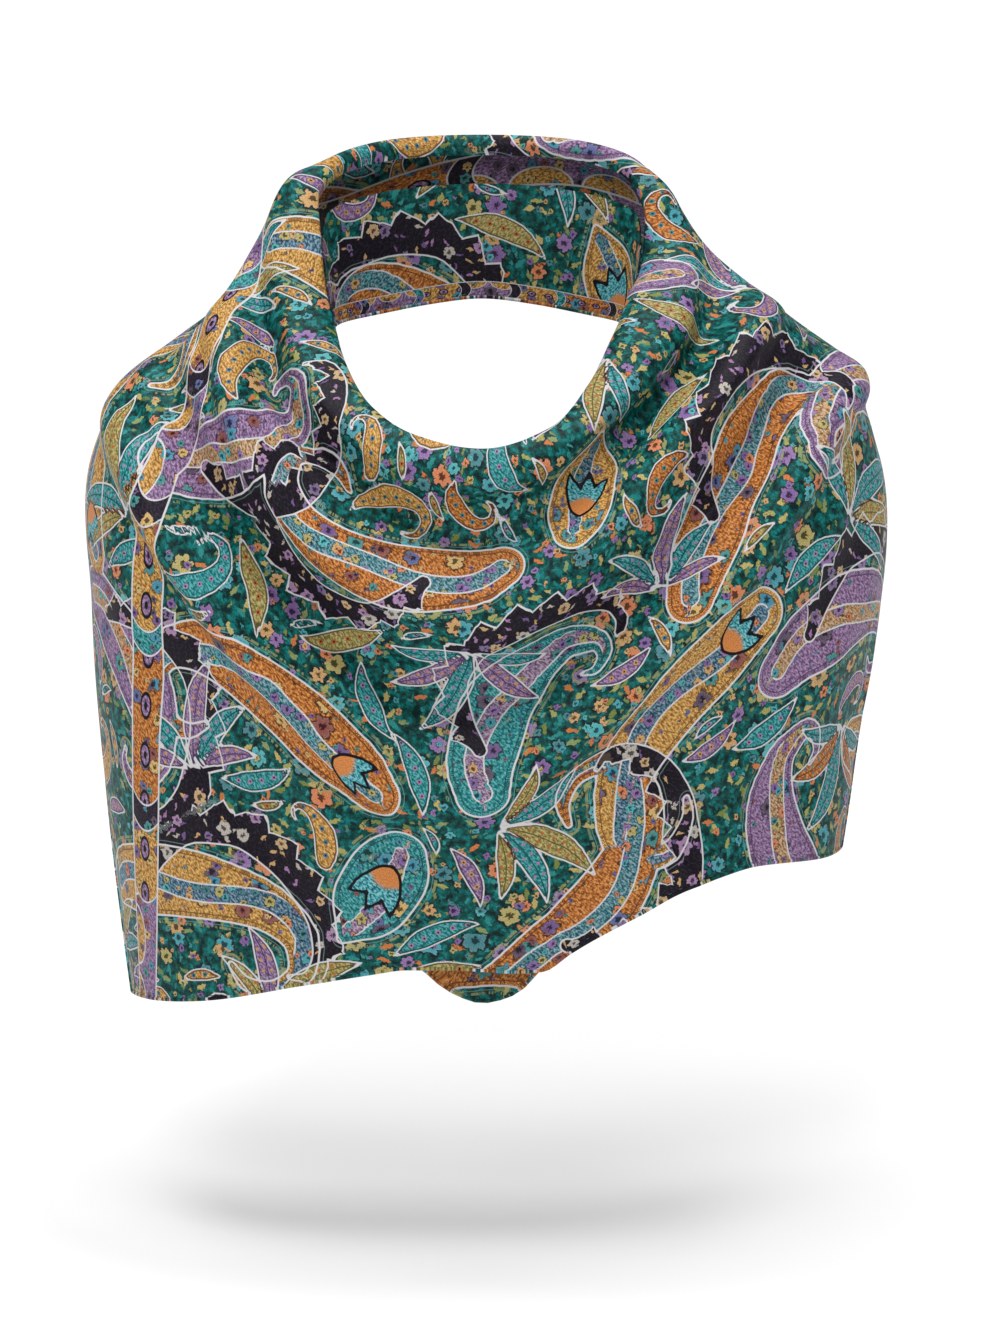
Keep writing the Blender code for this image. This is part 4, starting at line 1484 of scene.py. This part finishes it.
def rolled_hem(name, cloth, places, layers):
    """Make a hem rolled by hand: a thin tube along the edge, printed as the cloth is."""
    middle = cloth.points[places] - cloth.normals[places] * SILK / 2
    run = unit(np.gradient(middle, axis=0))
    side = unit(np.cross(run, cloth.normals[places]))
    out = np.cross(side, run)
    turn = (np.arange(HEM_SIDES) * 2 * math.pi / HEM_SIDES)[None, :, None]
    ring = np.cos(turn) * out[:, None] + np.sin(turn) * side[:, None]
    points = (middle[:, None] + ring * HEM_RADIUS).reshape(-1, 3)
    index = np.arange(len(points)).reshape(-1, HEM_SIDES)
    after = np.roll(index, -1, axis=1)
    faces = np.stack([index[:-1], after[:-1], after[1:], index[1:]], -1).reshape(-1, 4).tolist()
    faces += [index[0, ::-1].tolist(), index[-1].tolist()]
    flats = np.repeat(cloth.flat[places], HEM_SIDES, axis=0)
    ringed = {label: np.repeat(values[places], HEM_SIDES, axis=0)
              for label, values in layers.items()}
    return hung(name, cloth_mesh(name, points, faces, flats, ringed))


def stitch_tree(thread):
    """Build the node tree that sets a stitch at even steps along a line."""
    tree = bpy.data.node_groups.new("slip stitches", "GeometryNodeTree")
    tree.is_modifier = True
    face = tree.interface
    face.new_socket("Line", in_out="INPUT", socket_type="NodeSocketGeometry")
    for label in ("Pitch", "Length", "Radius"):
        face.new_socket(label, in_out="INPUT", socket_type="NodeSocketFloat")
    face.new_socket("Stitches", in_out="OUTPUT", socket_type="NodeSocketGeometry")
    kinds = {
        "start": "NodeGroupInput", "curve": "GeometryNodeMeshToCurve",
        "even": "GeometryNodeResampleCurve", "tangent": "GeometryNodeInputTangent",
        "turn": "FunctionNodeAlignRotationToVector", "stitch": "GeometryNodeMeshCylinder",
        "place": "GeometryNodeInstanceOnPoints", "real": "GeometryNodeRealizeInstances",
        "paint": "GeometryNodeSetMaterial", "end": "NodeGroupOutput",
    }
    node = {key: tree.nodes.new(kind) for key, kind in kinds.items()}
    node["even"].mode = "LENGTH"
    node["turn"].axis = "Z"
    node["stitch"].inputs["Vertices"].default_value = STITCH_SIDES
    node["paint"].inputs["Material"].default_value = thread
    for a, out, b, into in (
        ("start", "Line", "curve", "Mesh"), ("curve", "Curve", "even", "Curve"),
        ("start", "Pitch", "even", "Length"), ("tangent", 0, "turn", "Vector"),
        ("start", "Radius", "stitch", "Radius"), ("start", "Length", "stitch", "Depth"),
        ("even", "Curve", "place", "Points"), ("stitch", "Mesh", "place", "Instance"),
        ("turn", 0, "place", "Rotation"), ("place", "Instances", "real", "Geometry"),
        ("real", "Geometry", "paint", "Geometry"), ("paint", "Geometry", "end", 0),
    ):
        tree.links.new(node[a].outputs[out], node[b].inputs[into])
    return tree


def stitched(name, cloth, places, tree):
    """Sew slip stitches along a hem, on the face of the cloth just above the roll."""
    points, normals = cloth.points[places], cloth.normals[places]
    inward = np.cross(unit(np.gradient(points, axis=0)), normals)
    middle = cloth.points[cloth.points.shape[0] // 2, cloth.points.shape[1] // 2]
    inward *= np.sign(((middle - points) * inward).sum(-1))[:, None]
    line = points + inward * STITCH_INSET + normals * STITCH_RADIUS * STITCH_RISE
    mesh = bpy.data.meshes.new(name)
    mesh.from_pydata((line * MM).tolist(), [(k, k + 1) for k in range(len(line) - 1)], [])
    guide = hung(name + "_line", mesh)
    sewing = guide.modifiers.new("slip stitches", "NODES")
    sewing.node_group = tree
    sizes = {"Pitch": STITCH_PITCH, "Length": STITCH_LENGTH, "Radius": STITCH_RADIUS}
    for item in tree.interface.items_tree:
        if item.name in sizes:
            sewing[item.identifier] = sizes[item.name] * MM
    seen = guide.evaluated_get(bpy.context.evaluated_depsgraph_get())
    made = bpy.data.meshes.new_from_object(seen)
    bpy.data.objects.remove(guide)
    return hung(name, made)


# ---------------------------------------------------------------- put together


def plain_material(name, settings):
    """Make a material of one colour."""
    material = bpy.data.materials.new(name)
    material.use_nodes = True
    for key, value in settings.items():
        material.node_tree.nodes["Principled BSDF"].inputs[key].default_value = value
    return material


def seam_row(cloth):
    """Give the row at which the side hem leaves the seam with the collar."""
    return int(np.argmax(cloth.points[:, 0, 2] < BACK_HEM[0].z - 1.0))


def flat_area(flat):
    """Give the area of a stretch's flat cut in square metres."""
    a, b = flat[1:, :-1] - flat[:-1, :-1], flat[:-1, 1:] - flat[:-1, :-1]
    return abs((a[..., 0] * b[..., 1] - a[..., 1] * b[..., 0]).sum()) * MM * MM


def flat_size(flat):
    """Give the width and length in metres of the cut that a stretch comes from, along its fold."""
    along = flat[0, -1] - flat[0, 0]
    along = along / np.linalg.norm(along)
    across = np.array([-along[1], along[0]])
    return [float(np.ptp(flat @ way)) * MM for way in (along, across)]


front = hanging_layer("front_z", CORNER_ANGLE, FINE_STEP, -TURN_DEPTH, lambda down: 0.0)
under = hanging_layer("under_z", UNDER_SIDE_ANGLE, UNDER_FINE_STEP, UNDER_START,
                      lambda down: table(LAYER_GAPS, "gap", down))
under = under._replace(flat=under.flat * (1, -1))
collar = collar_cloth(front)
band = band_cloth()
fillers = fill_in()
silk = printed_cloth("printed silk", 0)
# This material darkens its cloth all over: a duller reverse print plus painted shade for the under layer, which lies
# in shadow behind the front one.
reverse = printed_cloth("printed silk reverse", 1)
thread = plain_material("silk thread", {"Base Color": srgb(30, 96, 88), "Roughness": 0.5})
sewing_tree = stitch_tree(thread)

# Each stretch: its cloth, the CAD node it stands for, the record's slot, its material, how many
# steps of the face make one of the back, where its hem starts and whether it has side hems, what
# it lies on and its strip of border print.
Stretch = namedtuple("Stretch", "name cloth node slot material back hem_row sides rests_on strip")
edge_border = left_border()
STRETCHES = [
    Stretch("under_silk", under, "under_ply", "printed_silk_reverse", reverse, 1,
            seam_row(under), True, (), edge_border),
    Stretch("front_silk", front, "front_ply", "printed_silk", silk, 2,
            seam_row(front), True, ("under_silk",), edge_border),
    Stretch("collar_silk", collar, "outer_collar", "printed_silk", silk, 1,
            0, False, ("band_silk",), edge_border),
    Stretch("band_silk", band, "inner_band", "printed_silk", silk, 1,
            0, False, (), foot_strip(band.flat)),
]
for stretch in STRETCHES:
    cloth = stretch.cloth
    layers = print_layers(cloth.flat, fillers, stretch.strip)
    places = edge_places(cloth, stretch.hem_row, stretch.sides)
    piece = shell(stretch.name, cloth, stretch.back, layers)
    hem = rolled_hem(stretch.name + "_hem", cloth, places, layers)
    sewn = stitched(stretch.name + "_stitches", cloth, places, sewing_tree)
    piece.data.materials.append(stretch.material)
    hem.data.materials.append(stretch.material)
    for part in (piece, hem, sewn):
        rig.ride(part, "root")
        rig.slot(part, stretch.slot)
    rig.replaces(piece, stretch.node)
    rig.sheet(piece, flat=flat_size(cloth.flat), held="draped", rests_on=stretch.rests_on,
             area=flat_area(cloth.flat), with_pieces=[hem, sewn])

# ---------------------------------------------------------------- floor, light and camera

WORLD_LIGHT = 0.22
FLOOR_Z = -0.49
FLOOR_HALF = 60.0
SKY_PLACE = Vector((0.0, 0.14, 2.0))
SKY_ANGLE = 46.0
SKY_POWER = 2.85
FRONT_PLACE = Vector((-0.7, -2.5, 2.1))
FRONT_AIM = Vector((0, 0, -0.1))
FRONT_SIZE = (1.4, 0.9)
FRONT_POWER = 38.0
CAMERA_PLACE = Vector((0.0, -4.0076, 0.8316))
CAMERA_AIM = Vector((0.0106, -0.1219, -0.1267))
CAMERA_LENS = 183.1
CAMERA_WIDTH = 36.0

world = bpy.data.worlds.new("studio")
bpy.context.scene.world = world
world.use_nodes = True
world.node_tree.nodes["Background"].inputs[0].default_value = (1.0, 1.0, 1.0, 1.0)
world.node_tree.nodes["Background"].inputs[1].default_value = WORLD_LIGHT

paper = plain_material("pale floor", {"Base Color": (0.9, 0.9, 0.9, 1.0), "Roughness": 1.0,
                                      "Specular IOR Level": 0.0})
floor_mesh = bpy.data.meshes.new("floor")
floor_corners = [(x * FLOOR_HALF, y * FLOOR_HALF, FLOOR_Z)
                 for x, y in ((-1, -1), (1, -1), (1, 1), (-1, 1))]
floor_mesh.from_pydata(floor_corners, [], [(0, 1, 2, 3)])
floor_mesh.materials.append(paper)
floor = hung("floor", floor_mesh)
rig.stage(floor)


def point_at(thing, place, aim):
    """Put a light or the camera at a place and turn it to its aim."""
    thing.location = place
    thing.rotation_euler = (aim - place).to_track_quat("-Z", "Y").to_euler()


sky = bpy.data.lights.new("overhead light", "SUN")
sky.angle = math.radians(SKY_ANGLE)
sky.energy = SKY_POWER
sky_lamp = hung("overhead light", sky)
point_at(sky_lamp, SKY_PLACE, Vector())
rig.stage(sky_lamp)

light = bpy.data.lights.new("front light", "AREA")
light.shape = "RECTANGLE"
light.size, light.size_y = FRONT_SIZE
light.energy = FRONT_POWER
front_lamp = hung("front light", light)
point_at(front_lamp, FRONT_PLACE, FRONT_AIM)
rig.stage(front_lamp)

camera_data = bpy.data.cameras.new("camera")
camera_data.sensor_fit = "AUTO"
camera_data.sensor_width = CAMERA_WIDTH
camera_data.lens = CAMERA_LENS
camera = hung("camera", camera_data)
point_at(camera, CAMERA_PLACE, CAMERA_AIM)
bpy.context.scene.camera = camera
bpy.context.scene.view_settings.view_transform = "Standard"

with open("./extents.json", "w") as file:
    json.dump({"before": [list(p) for p in cad_box], "after": [list(p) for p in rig.bounds()]}, file)
